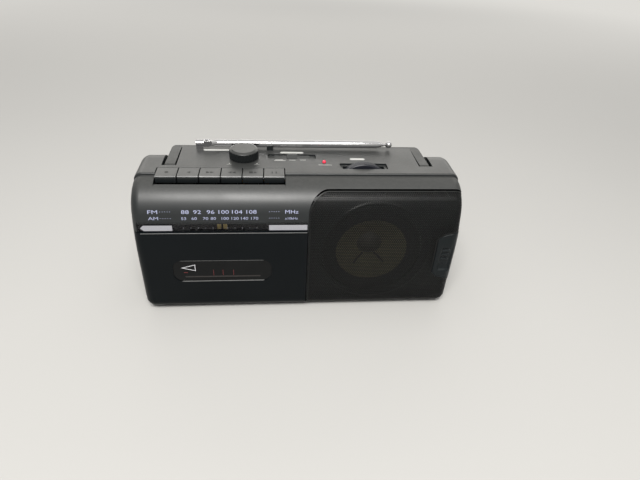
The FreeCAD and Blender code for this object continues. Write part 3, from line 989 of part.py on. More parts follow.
CORD_Y = f"({WHEEL_REAR} + DrumThick / 2)"
CORD_FRONT = f"({CARRIAGE_Y} + 3)"
CORD_ACROSS = "(DoorRight - CordInset)"
CORD_LOOP = "(DrumRadius + BeltFit + CordRadius)"


def cord_strand(name, height, side):
    """A straight run of cord from the corner guide to the top or the bottom of the drum."""
    across, up = f"(WheelAcross - {CORD_ACROSS})", f"({WHEEL_Z} - {height})"
    away = f"sqrt({across} * {across} + {up} * {up})"
    angle = f"(atan({up} / {across}) {side} asin({CORD_LOOP} / {away}))"
    piece = rod(name, "z", (CORD_ACROSS, CORD_Y), "CordRadius", height, height)
    piece.Placement = FreeCAD.Placement(piece.Placement.Base, FreeCAD.Rotation(FreeCAD.Vector(0, 1, 0), 60))
    piece.setExpression("Height", formula(f"sqrt({away} * {away} - {CORD_LOOP} * {CORD_LOOP})"))
    piece.setExpression("Placement.Rotation.Angle", formula(f"90 deg - {angle}"))
    return piece


cord_wrap = turned("CordWrap", "y", ("WheelAcross", WHEEL_Z), [
    (f"{CORD_LOOP} - CordRadius", f"{CORD_Y} - CordRadius"),
    (f"{CORD_LOOP} + CordRadius", f"{CORD_Y} - CordRadius"),
    (f"{CORD_LOOP} + CordRadius", f"{CORD_Y} + CordRadius"),
    (f"{CORD_LOOP} - CordRadius", f"{CORD_Y} + CordRadius")])
cord_runs = [cord_strand("CordStrandUpper", "CordUpper", "+"),
             cord_strand("CordStrandLower", "CordLower", "-")]
for name, height in (("Upper", "CordUpper"), ("Lower", "CordLower")):
    cord_runs += [
        ball(f"CordBend{name}", (CORD_ACROSS, CORD_Y, height), "CordRadius"),
        rod(f"CordAside{name}", "y", (CORD_ACROSS, height), "CordRadius", CORD_FRONT, CORD_Y),
        ball(f"CordCorner{name}", (CORD_ACROSS, CORD_FRONT, height), "CordRadius"),
        rod(f"CordAlong{name}", "x", (CORD_FRONT, height), "CordRadius", CORD_LEFT, CORD_ACROSS),
        ball(f"CordEnd{name}", (CORD_LEFT, CORD_FRONT, height), "CordRadius")]
cord_return = rod("CordReturn", "z", (CORD_LEFT, CORD_FRONT), "CordRadius", "CordLower", "CordUpper")
dial_cord = node(join("dial_cord", cord_wrap, cord_return, *cord_runs))

# ---- telescopic antenna ----

ROOT_RIGHT = "(AntennaRoot + AntennaBarrel)"
antenna_saddle = block("AntennaSaddle", ("AntennaRoot", ROOT_RIGHT),
                       (f"{ANTENNA_Y} - 2.2", f"{ANTENNA_Y} + 2.2"), (DECK, ANTENNA_Z))
antenna_barrel = rod("AntennaBarrelRod", "x", (ANTENNA_Y, ANTENNA_Z), "AntennaBarrelRadius", "AntennaRoot",
                     ROOT_RIGHT)
antenna_base = node(cut("antenna_base", join("AntennaBaseSolid", antenna_barrel, antenna_saddle),
                        rod("AntennaBaseBore", "x", (ANTENNA_Y, ANTENNA_Z), "SwivelPin + RunningFit",
                            "AntennaRoot + 1", f"{ROOT_RIGHT} + 1")))
swivel_stem = turned("SwivelStem", "x", (ANTENNA_Y, ANTENNA_Z), [
    ("0", "AntennaRoot + 1.4"), ("SwivelPin", "AntennaRoot + 1.4"), ("SwivelPin", f"{ROOT_RIGHT} + 0.3"),
    ("AntennaCheek", f"{ROOT_RIGHT} + 0.3"), ("AntennaCheek", f"{ROOT_RIGHT} + 1.5"),
    ("0", f"{ROOT_RIGHT} + 1.5")])
swivel_fork = block("SwivelFork", (f"{ROOT_RIGHT} + 1", "AntennaHinge"),
                    (f"{ANTENNA_Y} - AntennaCheek", f"{ANTENNA_Y} + AntennaCheek"),
                    (f"{ANTENNA_Z} - AntennaCheek", f"{ANTENNA_Z} + AntennaCheek"))
swivel_eye = rod("SwivelEye", "y", ("AntennaHinge", ANTENNA_Z), "AntennaCheek",
                 f"{ANTENNA_Y} - AntennaCheek", f"{ANTENNA_Y} + AntennaCheek")
swivel_gap = block("SwivelGap", ("AntennaHinge - AntennaCheek", "AntennaHinge + AntennaCheek + 1"),
                   (f"{ANTENNA_Y} - AntennaTongue / 2 - Clearance",
                    f"{ANTENNA_Y} + AntennaTongue / 2 + Clearance"),
                   (f"{ANTENNA_Z} - AntennaCheek - 1", f"{ANTENNA_Z} + AntennaCheek + 1"))
swivel_axle = rod("SwivelAxle", "y", ("AntennaHinge", ANTENNA_Z), "AntennaPin",
                  f"{ANTENNA_Y} - AntennaCheek", f"{ANTENNA_Y} + AntennaCheek")
antenna_swivel = node(join("antenna_swivel",
                           cut("SwivelSolid", join("SwivelBlank", swivel_stem, swivel_fork, swivel_eye),
                               swivel_gap),
                           swivel_axle))

TUBE_END = "(AntennaStart + AntennaTube)"
tongue = block("Tongue", ("AntennaHinge", "AntennaHinge + AntennaCheek + 2"),
               (f"{ANTENNA_Y} - AntennaTongue / 2", f"{ANTENNA_Y} + AntennaTongue / 2"),
               (f"{ANTENNA_Z} - AntennaCheek + 0.4", f"{ANTENNA_Z} + AntennaCheek - 0.4"))
tongue_eye = rod("TongueEye", "y", ("AntennaHinge", ANTENNA_Z), "AntennaCheek - 0.4",
                 f"{ANTENNA_Y} - AntennaTongue / 2",
                 f"{ANTENNA_Y} + AntennaTongue / 2")
tongue_bore = rod("TongueBore", "y", ("AntennaHinge", ANTENNA_Z), "AntennaPin + RunningFit",
                  f"{ANTENNA_Y} - 3", f"{ANTENNA_Y} + 3")
outer_tube = turned("OuterTube", "x", (ANTENNA_Y, ANTENNA_Z), [
    ("0", "AntennaHinge + AntennaCheek + Clearance"),
    ("AntennaCheek - 0.4", "AntennaHinge + AntennaCheek + Clearance"),
    ("AntennaRadius", "AntennaStart"), ("AntennaRadius", TUBE_END),
    ("AntennaRadius - AntennaWall", TUBE_END),
    ("AntennaRadius - AntennaWall", "AntennaStart + 3"), ("0", "AntennaStart + 3")])
node(cut("antenna_section_1", join("SectionSolid1", outer_tube, tongue, tongue_eye), tongue_bore))
for index in (2, 3, 4):
    radius = f"(AntennaRadius - {index - 1} * AntennaStep)"
    start, end = f"AntennaStart + 3 + {index - 1} * Clearance", f"{TUBE_END} + {index - 1} * AntennaCollar"
    node(turned(f"antenna_section_{index}", "x", (ANTENNA_Y, ANTENNA_Z), [
        (f"{radius} - AntennaWall", start), (radius, start), (radius, end),
        (f"{radius} - AntennaWall", end)]))
rod_end = f"{TUBE_END} + 4 * AntennaCollar"
section_rod = rod("SectionRod", "x", (ANTENNA_Y, ANTENNA_Z), "AntennaRadius - 4 * AntennaStep",
                  "AntennaStart + 3 + 4 * Clearance",
                  f"{rod_end} + 1")
section_ball = ball("SectionBall", (f"{rod_end} + AntennaBall - 0.4", ANTENNA_Y, ANTENNA_Z), "AntennaBall")
node(join("antenna_section_5", section_rod, section_ball))

# ---- tape mechanism: chassis, capstan and flywheel, motor, spindles, heads ----

CHASSIS_Y = f"({FRONT} + ChassisFromFront)"
CHASSIS_REAR = f"({CHASSIS_Y} + ChassisSheet)"
FLY_Y = f"({CHASSIS_REAR} + FlywheelGap)"
FLY_REAR = f"({FLY_Y} + FlywheelThick)"
BRIDGE_Y = f"({CHASSIS_REAR} + PostLength)"
BRIDGE_REAR = f"({BRIDGE_Y} + ChassisSheet)"
HEAD_Y = f"({FRONT} + HeadFromFront)"
HEAD_BASE_Y = f"({FRONT} + HeadBaseFromFront)"
HEAD_BASE_REAR = f"({HEAD_BASE_Y} + HeadBaseSheet)"
TAKE_UP = "(CassetteMiddle - ReelSpacing / 2)"
SUPPLY = "(CassetteMiddle + ReelSpacing / 2)"
ROLLER_Z = "(CapstanHeight + CapstanRadius + RollerRadius + RollerLift)"
HEAD_LOW = "(CassetteBottom + CassetteTall + HeadLift)"
BASE_LOW, BASE_HIGH = f"({HEAD_LOW} + 0.8)", f"({HEAD_LOW} + HeadHeight + 9.8)"
BASE_LEFT, BASE_RIGHT = f"({CAPSTAN_ACROSS} - 10)", "(CassetteMiddle + EraseOffset + EraseWidth)"
STUDS = (("Left", f"{BASE_LEFT} + 6"), ("Right", f"{BASE_RIGHT} - 6"))
STUD_Z = f"({BASE_HIGH} - 5)"

chassis_plate = prism("ChassisPlate", "XZ", CHASSIS_Y, CHASSIS_REAR, [
    (f"0 - {END} + WallThickness", "ChassisBottom"), (DIVIDER_LEFT, "ChassisBottom"),
    (DIVIDER_LEFT, "CordLower - 4.4"), (f"{CORD_ACROSS} - 6.4", "CordLower - 4.4"),
    (f"{CORD_ACROSS} - 6.4", "ChassisTop"),
    (f"0 - {BOSS_ACROSS} + BossRadius + 1", "ChassisTop"),
    (f"0 - {BOSS_ACROSS} + BossRadius + 1", "BossHigh - BossRadius - 1"),
    (f"0 - {END} + WallThickness", "BossHigh - BossRadius - 1")])
stud_slots = [block(f"StudSlot{name}",
                    (f"{across} - StudRadius - StudPlay", f"{across} + StudRadius + StudPlay"),
                    (f"{CHASSIS_Y} - 1", f"{CHASSIS_REAR} + 1"),
                    (f"{STUD_Z} - HeadTravel - StudRadius - 0.3",
                     f"{STUD_Z} + StudRadius + 0.3")) for name, across in STUDS]
cord_peg = rod("CordPeg", "y", (f"{CORD_LEFT} + CordInset", "(CordUpper + CordLower) / 2"),
               "CordPegRadius", f"{CORD_FRONT} - 1", CHASSIS_Y)
mechanism_chassis = node(cut(
    "mechanism_chassis", join("ChassisSolid", chassis_plate, cord_peg), *stud_slots,
    rod("CapstanBore", "y", (CAPSTAN_ACROSS, "CapstanHeight"), "CapstanRadius + RunningFit",
        f"{CHASSIS_Y} - 1", f"{CHASSIS_REAR} + 1"),
    rod("TakeUpBore", "y", (TAKE_UP, "ReelHeight"), "ReelPin + RunningFit", f"{CHASSIS_Y} - 1",
        f"{CHASSIS_REAR} + 1"),
    rod("SupplyBore", "y", (SUPPLY, "ReelHeight"), "ReelPin + RunningFit", f"{CHASSIS_Y} - 1",
        f"{CHASSIS_REAR} + 1")))

flywheel = node(turned("flywheel", "y", (CAPSTAN_ACROSS, "CapstanHeight"), [
    ("0", HEAD_Y), ("CapstanRadius", HEAD_Y), ("CapstanRadius", FLY_Y), ("FlywheelRadius", FLY_Y),
    ("FlywheelRadius", FLY_REAR), ("FlywheelRadius - 3", FLY_REAR),
    ("FlywheelRadius - 3", f"{FLY_REAR} - 1.5"),
    ("FlywheelHub", f"{FLY_REAR} - 1.5"), ("FlywheelHub", FLY_REAR), ("CapstanRadius", FLY_REAR),
    ("CapstanRadius", BRIDGE_REAR), ("0", BRIDGE_REAR)]))
bridge_plate = prism("BridgePlate", "XZ", BRIDGE_Y, BRIDGE_REAR, rectangle(
    f"{CAPSTAN_ACROSS} - FlywheelRadius - 4", "CapstanHeight - FlywheelRadius - 5",
    "MotorAcross + MotorRadius + 2",
    "CapstanHeight + FlywheelRadius + 4", "3"))
bridge_posts = [rod(f"BridgePost{index}", "y", place, "PostRadius", CHASSIS_REAR,
                    f"{BRIDGE_Y} + 0.5") for index, place in enumerate((
    (f"{CAPSTAN_ACROSS} - FlywheelRadius - 0.6", "CapstanHeight - FlywheelRadius - 1.6"),
    (f"{CAPSTAN_ACROSS} - FlywheelRadius - 0.6", "CapstanHeight + FlywheelRadius + 0.6"),
    ("MotorAcross + MotorRadius - 2", "CapstanHeight - FlywheelRadius - 1.6"),
    ("MotorAcross + MotorRadius - 2", "CapstanHeight + FlywheelRadius + 0.6")))]
flywheel_bracket = node(cut(
    "flywheel_bracket", join("BridgeSolid", bridge_plate, *bridge_posts),
    rod("BridgeCapstanBore", "y", (CAPSTAN_ACROSS, "CapstanHeight"), "CapstanRadius + RunningFit",
        f"{BRIDGE_Y} - 1", f"{BRIDGE_REAR} + 1"),
    rod("BridgeMotorBore", "y", ("MotorAcross", "MotorHeight"), "MotorNose", f"{BRIDGE_Y} - 1",
        f"{BRIDGE_REAR} + 1")))

MOTOR_REAR = f"({BRIDGE_REAR} + MotorLength)"
motor_can = turned("MotorCan", "y", ("MotorAcross", "MotorHeight"), [
    ("0", BRIDGE_REAR), ("MotorRadius", BRIDGE_REAR), ("MotorRadius", f"{MOTOR_REAR} - 2"),
    ("MotorRadius - 2", MOTOR_REAR), ("0", MOTOR_REAR)])
motor = node(cut("motor", motor_can,
                 rod("MotorBore", "y", ("MotorAcross", "MotorHeight"), "CapstanRadius + RunningFit",
                                         f"{BRIDGE_REAR} - 1", f"{BRIDGE_REAR} + 8")))
motor_pulley = node(turned("motor_pulley", "y", ("MotorAcross", "MotorHeight"), [
    ("0", FLY_Y), ("PulleyRadius + 1.2", FLY_Y), ("PulleyRadius", f"{FLY_Y} + 0.9"),
    ("PulleyRadius", f"{FLY_REAR} - 0.9"),
    ("PulleyRadius + 1.2", FLY_REAR), ("CapstanRadius", FLY_REAR), ("CapstanRadius", f"{BRIDGE_REAR} + 7"),
    ("0", f"{BRIDGE_REAR} + 7")]))

BELT_ACROSS, BELT_UP = f"(MotorAcross - {CAPSTAN_ACROSS})", "(MotorHeight - CapstanHeight)"
BELT_TURN = f"atan({BELT_UP} / {BELT_ACROSS})"
BELT_LONG = f"sqrt({BELT_ACROSS} * {BELT_ACROSS} + {BELT_UP} * {BELT_UP})"
BELT_SPREAD = f"acos((FlywheelRadius - PulleyRadius) / {BELT_LONG})"


def belt_outline(gap):
    """The loop round the flywheel and the motor pulley, gap away from both."""
    def place(centre, radius, angle):
        across, up = centre
        return f"{across} + ({radius} + {gap}) * cos({angle})", f"{up} + ({radius} + {gap}) * sin({angle})"

    wheel, pulley = (CAPSTAN_ACROSS, "CapstanHeight"), ("MotorAcross", "MotorHeight")
    low, high = f"{BELT_TURN} - {BELT_SPREAD}", f"{BELT_TURN} + {BELT_SPREAD}"
    return [
        place(wheel, "FlywheelRadius", f"{BELT_TURN} + 180 deg") + (f"FlywheelRadius + {gap}", "left"),
        place(wheel, "FlywheelRadius", low) + (f"FlywheelRadius + {gap}", "left"),
        place(pulley, "PulleyRadius", low),
        place(pulley, "PulleyRadius", high) + (f"PulleyRadius + {gap}", "left"),
        place(wheel, "FlywheelRadius", high),
    ]


belt_y = f"({FLY_Y} + FlywheelThick / 2)"
drive_belt = node(prism("drive_belt", "XZ", f"{belt_y} - BeltWide / 2", f"{belt_y} + BeltWide / 2",
                        belt_outline("BeltFit + BeltThick"), belt_outline("BeltFit")))


def make_spindle(name, across):
    """A reel spindle: a table, a hub with three fins and a pin held by a collar behind the chassis."""
    table = f"({CHASSIS_Y} - Clearance)"
    body = turned(name, "y", (across, "ReelHeight"), [
        ("0", f"{HEAD_Y} + 1"), ("SpindleRadius - 1.4", f"{HEAD_Y} + 1"),
        ("SpindleRadius", f"{HEAD_Y} + 3.5"),
        ("SpindleRadius", f"{table} - 2"), ("TableRadius", f"{table} - 2"), ("TableRadius", table),
        ("ReelPin", table),
        ("ReelPin", f"{CHASSIS_REAR} + Clearance"), ("ReelPin + 1", f"{CHASSIS_REAR} + Clearance"),
        ("ReelPin + 1", f"{CHASSIS_REAR} + Clearance + 1"), ("0", f"{CHASSIS_REAR} + Clearance + 1")])
    outline = rectangle("0 - FinHalf", "SpindleRadius - 1", "FinHalf", "SpindleFin")
    sketch = sketch_in(body, "XZ", [outline], (across, "ReelHeight", f"0 - ({table} - 1.5)"))
    fin = body.newObject("PartDesign::Pad", name + "Fin")
    fin.Profile = sketch
    fin.setExpression("Length", formula(f"({table} - 1.5) - ({HEAD_Y} + 4.5)"))
    fins = body.newObject("PartDesign::PolarPattern", name + "Fins")
    fins.Originals = [fin]
    fins.Axis = (sketch, ["N_Axis"])
    fins.Angle = 360
    fins.Occurrences = 3
    body.Tip = fins
    return node(body)


make_spindle("take_up_spindle", TAKE_UP)
make_spindle("supply_spindle", SUPPLY)

base_plate = prism("HeadBasePlate", "XZ", HEAD_BASE_Y, HEAD_BASE_REAR,
                   rectangle(BASE_LEFT, BASE_LOW, BASE_RIGHT, BASE_HIGH, "2"))
base_studs = [rod(f"HeadStud{name}", "y", (across, STUD_Z), "StudRadius", HEAD_BASE_Y,
                  f"{CHASSIS_REAR} + 0.4") for name, across in STUDS]
roller_pin = rod("RollerPinRod", "y", (CAPSTAN_ACROSS, ROLLER_Z), "RollerPin", HEAD_Y, HEAD_BASE_REAR)
roller_spacer = rod("RollerSpacer", "y", (CAPSTAN_ACROSS, ROLLER_Z), "RollerPin + 1",
                    f"{HEAD_Y} + 1 + RollerWidth + Clearance", HEAD_BASE_REAR)
head_base = node(join("head_base", base_plate, *base_studs, roller_pin, roller_spacer))
pinch_roller = node(turned("pinch_roller", "y", (CAPSTAN_ACROSS, ROLLER_Z), [
    ("RollerPin + RunningFit", f"{HEAD_Y} + 1"), ("RollerRadius - 0.5", f"{HEAD_Y} + 1"),
    ("RollerRadius", f"{HEAD_Y} + 1.5"),
    ("RollerRadius", f"{HEAD_Y} + 0.5 + RollerWidth"),
    ("RollerRadius - 0.5", f"{HEAD_Y} + 1 + RollerWidth"),
    ("RollerPin + RunningFit", f"{HEAD_Y} + 1 + RollerWidth")]))
head_sheet = block("HeadSheet", ("CassetteMiddle - HeadWidth / 2",
                                 "CassetteMiddle + EraseOffset + EraseWidth / 2"),
                   (f"{HEAD_BASE_Y} - 1", HEAD_BASE_Y), (f"{HEAD_LOW} + 2", f"{HEAD_LOW} + HeadHeight"))
play_head = block("PlayHead", ("CassetteMiddle - HeadWidth / 2", "CassetteMiddle + HeadWidth / 2"),
                  (HEAD_Y, f"{HEAD_BASE_Y} - 0.5"),
                  (f"{HEAD_LOW} + 2", f"{HEAD_LOW} + HeadHeight"))
play_face = rod("PlayFace", "y", ("CassetteMiddle", f"{HEAD_LOW} + HeadWidth / 2"), "HeadWidth / 2",
                HEAD_Y, f"{HEAD_BASE_Y} - 0.5")
erase_head = block("EraseHead", ("CassetteMiddle + EraseOffset - EraseWidth / 2",
                                 "CassetteMiddle + EraseOffset + EraseWidth / 2"),
                   (HEAD_Y, f"{HEAD_BASE_Y} - 0.5"), (f"{HEAD_LOW} + 1", f"{HEAD_LOW} + HeadHeight"))
tape_heads = node(cut("tape_heads", join("HeadSolid", head_sheet, play_head, play_face, erase_head),
                      block("HeadTrim", ("CassetteMiddle - HeadWidth", "CassetteMiddle + HeadWidth"),
                            (f"{HEAD_Y} - 1", HEAD_BASE_Y), (f"{HEAD_LOW} + HeadHeight",
                                                             f"{HEAD_LOW} + 2 * HeadWidth"))))

# ---- electronics ----

BOARD_LOW = f"({BOARD_TOP} - BoardThick)"
tuner_notch = block("TunerNotch", ("WheelAcross - TunerSide / 2", "WheelAcross + TunerSide / 2"),
                    (f"{BOARD_Y} - 1", f"{TUNER_Y} + TunerDeep"), (f"{BOARD_LOW} - 1", f"{BOARD_TOP} + 1"))
board_parts = [block(f"CoilCan{index}", (f"LedAcross + {index} * 9 - 2", f"LedAcross + {index} * 9 + 5"),
                     (f"{BOARD_Y} + 9", f"{BOARD_Y} + 16"),
                     (BOARD_TOP, f"{BOARD_TOP} + 9")) for index in (0, 1)]
board_parts += [rod(f"BoardCan{index}", "z",
                    (f"BoardLeft + {14 + 24 * index}", f"{BOARD_Y} + BoardWide / 2"), "CanRadius",
                    f"{BOARD_LOW} - 14", f"{BOARD_LOW} + 0.5") for index in range(4)]
board_parts.append(block("BoardChip", ("LedAcross - 30", "LedAcross - 10"),
                         (f"{BOARD_Y} + 4", f"{BOARD_Y} + 10"),
                         (f"{BOARD_LOW} - 4", f"{BOARD_LOW} + 0.5")))
board_plate = block("BoardPlate", ("BoardLeft", "BoardRight"), (BOARD_Y, f"{BOARD_Y} + BoardWide"),
                    (BOARD_LOW, BOARD_TOP))
main_board = node(cut("main_board", join("BoardSolid", board_plate, *board_parts), tuner_notch))

ROD_Y = f"({FRONT} + RodFromFront)"
ROD_Z = f"({BOARD_TOP} + RodRadius + 3)"
ROD_LEFT = "(SliderMiddle + 12 - RodLength / 2)"
rod_holders = [block(f"RodHolder{index}", (f"{ROD_LEFT} + {place}", f"{ROD_LEFT} + {place} + 4"),
                     (f"{ROD_Y} - 4.5", f"{ROD_Y} + 4.5"),
                     (BOARD_TOP, ROD_Z)) for index, place in enumerate((6, 76))]
ferrite_rod = node(join("ferrite_rod",
                        rod("FerriteBar", "x", (ROD_Y, ROD_Z), "RodRadius", ROD_LEFT,
                            f"{ROD_LEFT} + RodLength"),
                        rod("FerriteCoil", "x", (ROD_Y, ROD_Z), "RodRadius + 0.9", f"{ROD_LEFT} + 16",
                            f"{ROD_LEFT} + 36"), *rod_holders))

CORE_LEFT = f"(TransformerFromEnd - {END})"
CORE_RIGHT = f"({CORE_LEFT} + TransformerLength)"
CORE_MIDDLE = f"({BATTERY_FRONT} + TransformerWide / 4)"
transformer_core = block("TransformerCore", (CORE_LEFT, CORE_RIGHT),
                         (f"{CORE_MIDDLE} - TransformerWide / 4", f"{CORE_MIDDLE} + TransformerWide / 4"),
                         (FLOOR, f"{FLOOR} + TransformerTall"))
transformer_coil = block("TransformerCoil", (f"{CORE_LEFT} + 6.5", f"{CORE_RIGHT} - 6.5"),
                         (f"{CORE_MIDDLE} - TransformerWide / 2", f"{CORE_MIDDLE} + TransformerWide / 2"),
                         (f"{FLOOR} + 5", f"{FLOOR} + TransformerTall - 5"))
power_transformer = node(join("power_transformer", transformer_core, transformer_coil))

inlet_block = block("InletBlock", (f"{INLET_ACROSS} - InletLength / 2",
                                   f"{INLET_ACROSS} + InletLength / 2"), (f"{BACK} - InletDeep", BACK),
                    ("InletHeight - InletTall / 2", "InletHeight + InletTall / 2"))
inlet_space = prism("InletSpace", "XZ", f"{BACK} - InletDeep + 3", f"{BACK} + 1", rectangle(
    f"{INLET_ACROSS} - InletLength / 2 + InletWall", "InletHeight - InletTall / 2 + InletWall",
    f"{INLET_ACROSS} + InletLength / 2 - InletWall", "InletHeight + InletTall / 2 - InletWall",
    "InletCorner"))
inlet_pins = [rod(f"InletPin{name}", "y", (f"{INLET_ACROSS} + {place}", "InletHeight"), "InletPinRadius",
                  f"{BACK} - InletDeep + 1", f"{BACK} - 3")
              for name, place in (("Left", "0 - InletPinSpace"), ("Right", "InletPinSpace"))]
ac_inlet = node(join("ac_inlet", cut("InletShell", inlet_block, inlet_space), *inlet_pins))

JACK_X = f"(0 - {END} + WallThickness)"
jack_nose = rod("JackNoseRod", "x", (JACK_Y, "JackHeight"), "JackNose", f"0 - {END}", JACK_X)
jack_case = block("JackCase", (JACK_X, f"{JACK_X} + 14"),
                  (f"{JACK_Y} - JackBody / 2", f"{JACK_Y} + JackBody / 2"),
                  ("JackHeight - JackBody / 2", "JackHeight + JackBody / 2"))
earphone_jack = node(cut("earphone_jack", join("JackSolid", jack_nose, jack_case),
                         rod("JackBore", "x", (JACK_Y, "JackHeight"), "JackRadius", f"0 - {END} - 1",
                             f"{JACK_X} + 12")))

# ---- battery lid, contacts, feet and screws ----

LID_Y = f"({BACK} - LidThick)"
lid_plate = prism("LidPlate", "YZ", "BatteryLeft + LidGap", f"{BATTERY_RIGHT} - LidGap", [
    (BACK, LID_AXIS_Z, "LidThick / 2", "left"), (BACK, "BatteryBottom + BatteryHeight - LidGap"),
    (LID_Y, "BatteryBottom + BatteryHeight - LidGap"), (LID_Y, LID_AXIS_Z),
    (LID_AXIS_Y, f"{LID_AXIS_Z} - LidThick / 2", "LidThick / 2", "left")])
lid_pins = rod("LidPins", "x", (LID_AXIS_Y, LID_AXIS_Z), "LidPin", "BatteryLeft - 1.2",
               f"{BATTERY_RIGHT} + 1.2")
battery_door = node(join("battery_door", lid_plate, lid_pins))
contact_sheets = [block(f"Contact{name}", (low, f"{low} + ContactThick"),
                        (f"{BATTERY_FRONT} + 2", f"{BACK} - 6"),
                        ("BatteryBottom + 4", "BatteryBottom + BatteryHeight - 4")) for name, low in (
                            ("Left", "BatteryLeft"), ("Right", f"{BATTERY_RIGHT} - ContactThick"))]
battery_contacts = node(group("battery_contacts", *contact_sheets))
feet = node(group("feet", *[rod(f"Foot{index}", "z", place, "FootRadius", "0", "FootHeight") for index,
                            place in enumerate(
    (f"{sign} * ({END} - FootInset)", along) for sign in ("-1",
                                                          "1") for along in (f"{FRONT} + 0.7 * FootInset",
                                                              f"{BACK} - 0.7 * FootInset"))]))
screw_heads = screw_bosses("ScrewHead", f"{SEAM} + ScrewSeat", f"{SEAM} + ScrewSeat + ScrewHeadThick")
screw_shanks = screw_bosses("ScrewShank", f"{SEAM} + ScrewSeat - ScrewLength", f"{SEAM} + ScrewSeat + 0.5")
for head, shank in zip(screw_heads, screw_shanks):
    head.setExpression("Radius", formula("ScrewHeadRadius"))
    shank.setExpression("Radius", formula("ScrewRadius"))
case_screws = node(group("case_screws", *[join(f"Screw{index}", head, shank)
                                          for index, (head, shank) in enumerate(zip(screw_heads,
                                                                                    screw_shanks))]))


def finish():
    """Check every object, then write each piece to its own file."""
    doc.recompute()
    for thing in doc.Objects:
        if "Invalid" in thing.State or "Error" in thing.State:
            raise RuntimeError(f"{thing.Name} did not build: {thing.State}")
    for piece in nodes:
        if piece.Shape.isNull() or not piece.Shape.isValid() or not piece.Shape.Solids:
            raise RuntimeError(f"{piece.Label} has no sound solid")
    os.makedirs("parts", exist_ok=True)
    for piece in nodes:
        piece.Shape.exportStep(f"parts/{piece.Label}.step")


finish()
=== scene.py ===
import math

import bmesh
import bpy
from mathutils import Matrix, Vector


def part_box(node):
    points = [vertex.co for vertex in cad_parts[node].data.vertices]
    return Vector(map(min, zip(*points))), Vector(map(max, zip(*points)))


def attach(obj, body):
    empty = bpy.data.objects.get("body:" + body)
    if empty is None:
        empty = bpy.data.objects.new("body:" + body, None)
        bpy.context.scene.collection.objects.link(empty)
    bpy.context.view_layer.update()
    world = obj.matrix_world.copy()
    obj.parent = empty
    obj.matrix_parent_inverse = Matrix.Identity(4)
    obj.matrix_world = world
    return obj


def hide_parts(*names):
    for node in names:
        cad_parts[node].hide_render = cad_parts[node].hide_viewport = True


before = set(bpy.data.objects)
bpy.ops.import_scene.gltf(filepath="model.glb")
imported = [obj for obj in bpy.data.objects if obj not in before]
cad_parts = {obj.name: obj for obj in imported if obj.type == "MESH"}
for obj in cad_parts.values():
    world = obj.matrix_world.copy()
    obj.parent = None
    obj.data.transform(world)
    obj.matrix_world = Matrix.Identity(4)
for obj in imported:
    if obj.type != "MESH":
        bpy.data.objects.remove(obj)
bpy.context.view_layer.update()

MM = 0.001

# ---- the room ----
# The recorder stands on a plain pale table top, near a pale wall, under a wide ceiling panel and a smaller lamp
# in front of it. A weaker lamp stands behind it, where the wall throws light back over the deck, and one
# behind the viewer.

TABLE_SIZE = 12.0
CLEAR_REACH, HAZY_REACH = 0.5, 2.2
WALL_LIGHT = 1.04
TABLE_COLOUR = (0.5, 0.493, 0.475)
TABLE_CLOUD = 1 / 3
FILL_COLOUR, FILL_LIGHT = (0.95, 0.97, 1, 1), 0.2
WALL_COLOUR = (0.7, 0.685, 0.65, 1)
CAMERA_PLACE = Vector((-24.95, -393.52, 325.0)) * MM
CAMERA_TURN = math.radians(6.75)
CAMERA_TILT = math.radians(35.26)
CAMERA_ROLL = math.radians(-3.41)
CAMERA_LENS = 27.23


class NodeTree:
    """A node tree under construction."""

    def __init__(self, tree):
        self.tree = tree

    def connect(self, source, slot):
        """Link a socket to a slot, or set the slot to a plain value."""
        if isinstance(source, bpy.types.NodeSocket):
            self.tree.links.new(source, slot)
        else:
            slot.default_value = source

    def step(self, kind, options=None, **sources):
        """A node, with its sockets set or linked by name; underscores in a name stand for spaces."""
        node = self.tree.nodes.new(kind)
        for option, choice in (options or {}).items():
            setattr(node, option, choice)
        for name, source in sources.items():
            self.connect(source, node.inputs[name.replace("_", " ")])
        return node

    def sum(self, operation, *sources, kind="ShaderNodeMath"):
        """The result of a Math node, or of another kind with an operation."""
        node = self.step(kind, {"operation": operation})
        for slot, source in zip(node.inputs, sources):
            self.connect(source, slot)
        return node.outputs["Value" if operation == "LENGTH" else 0]

    def vector(self, operation, *sources):
        return self.sum(operation, *sources, kind="ShaderNodeVectorMath")


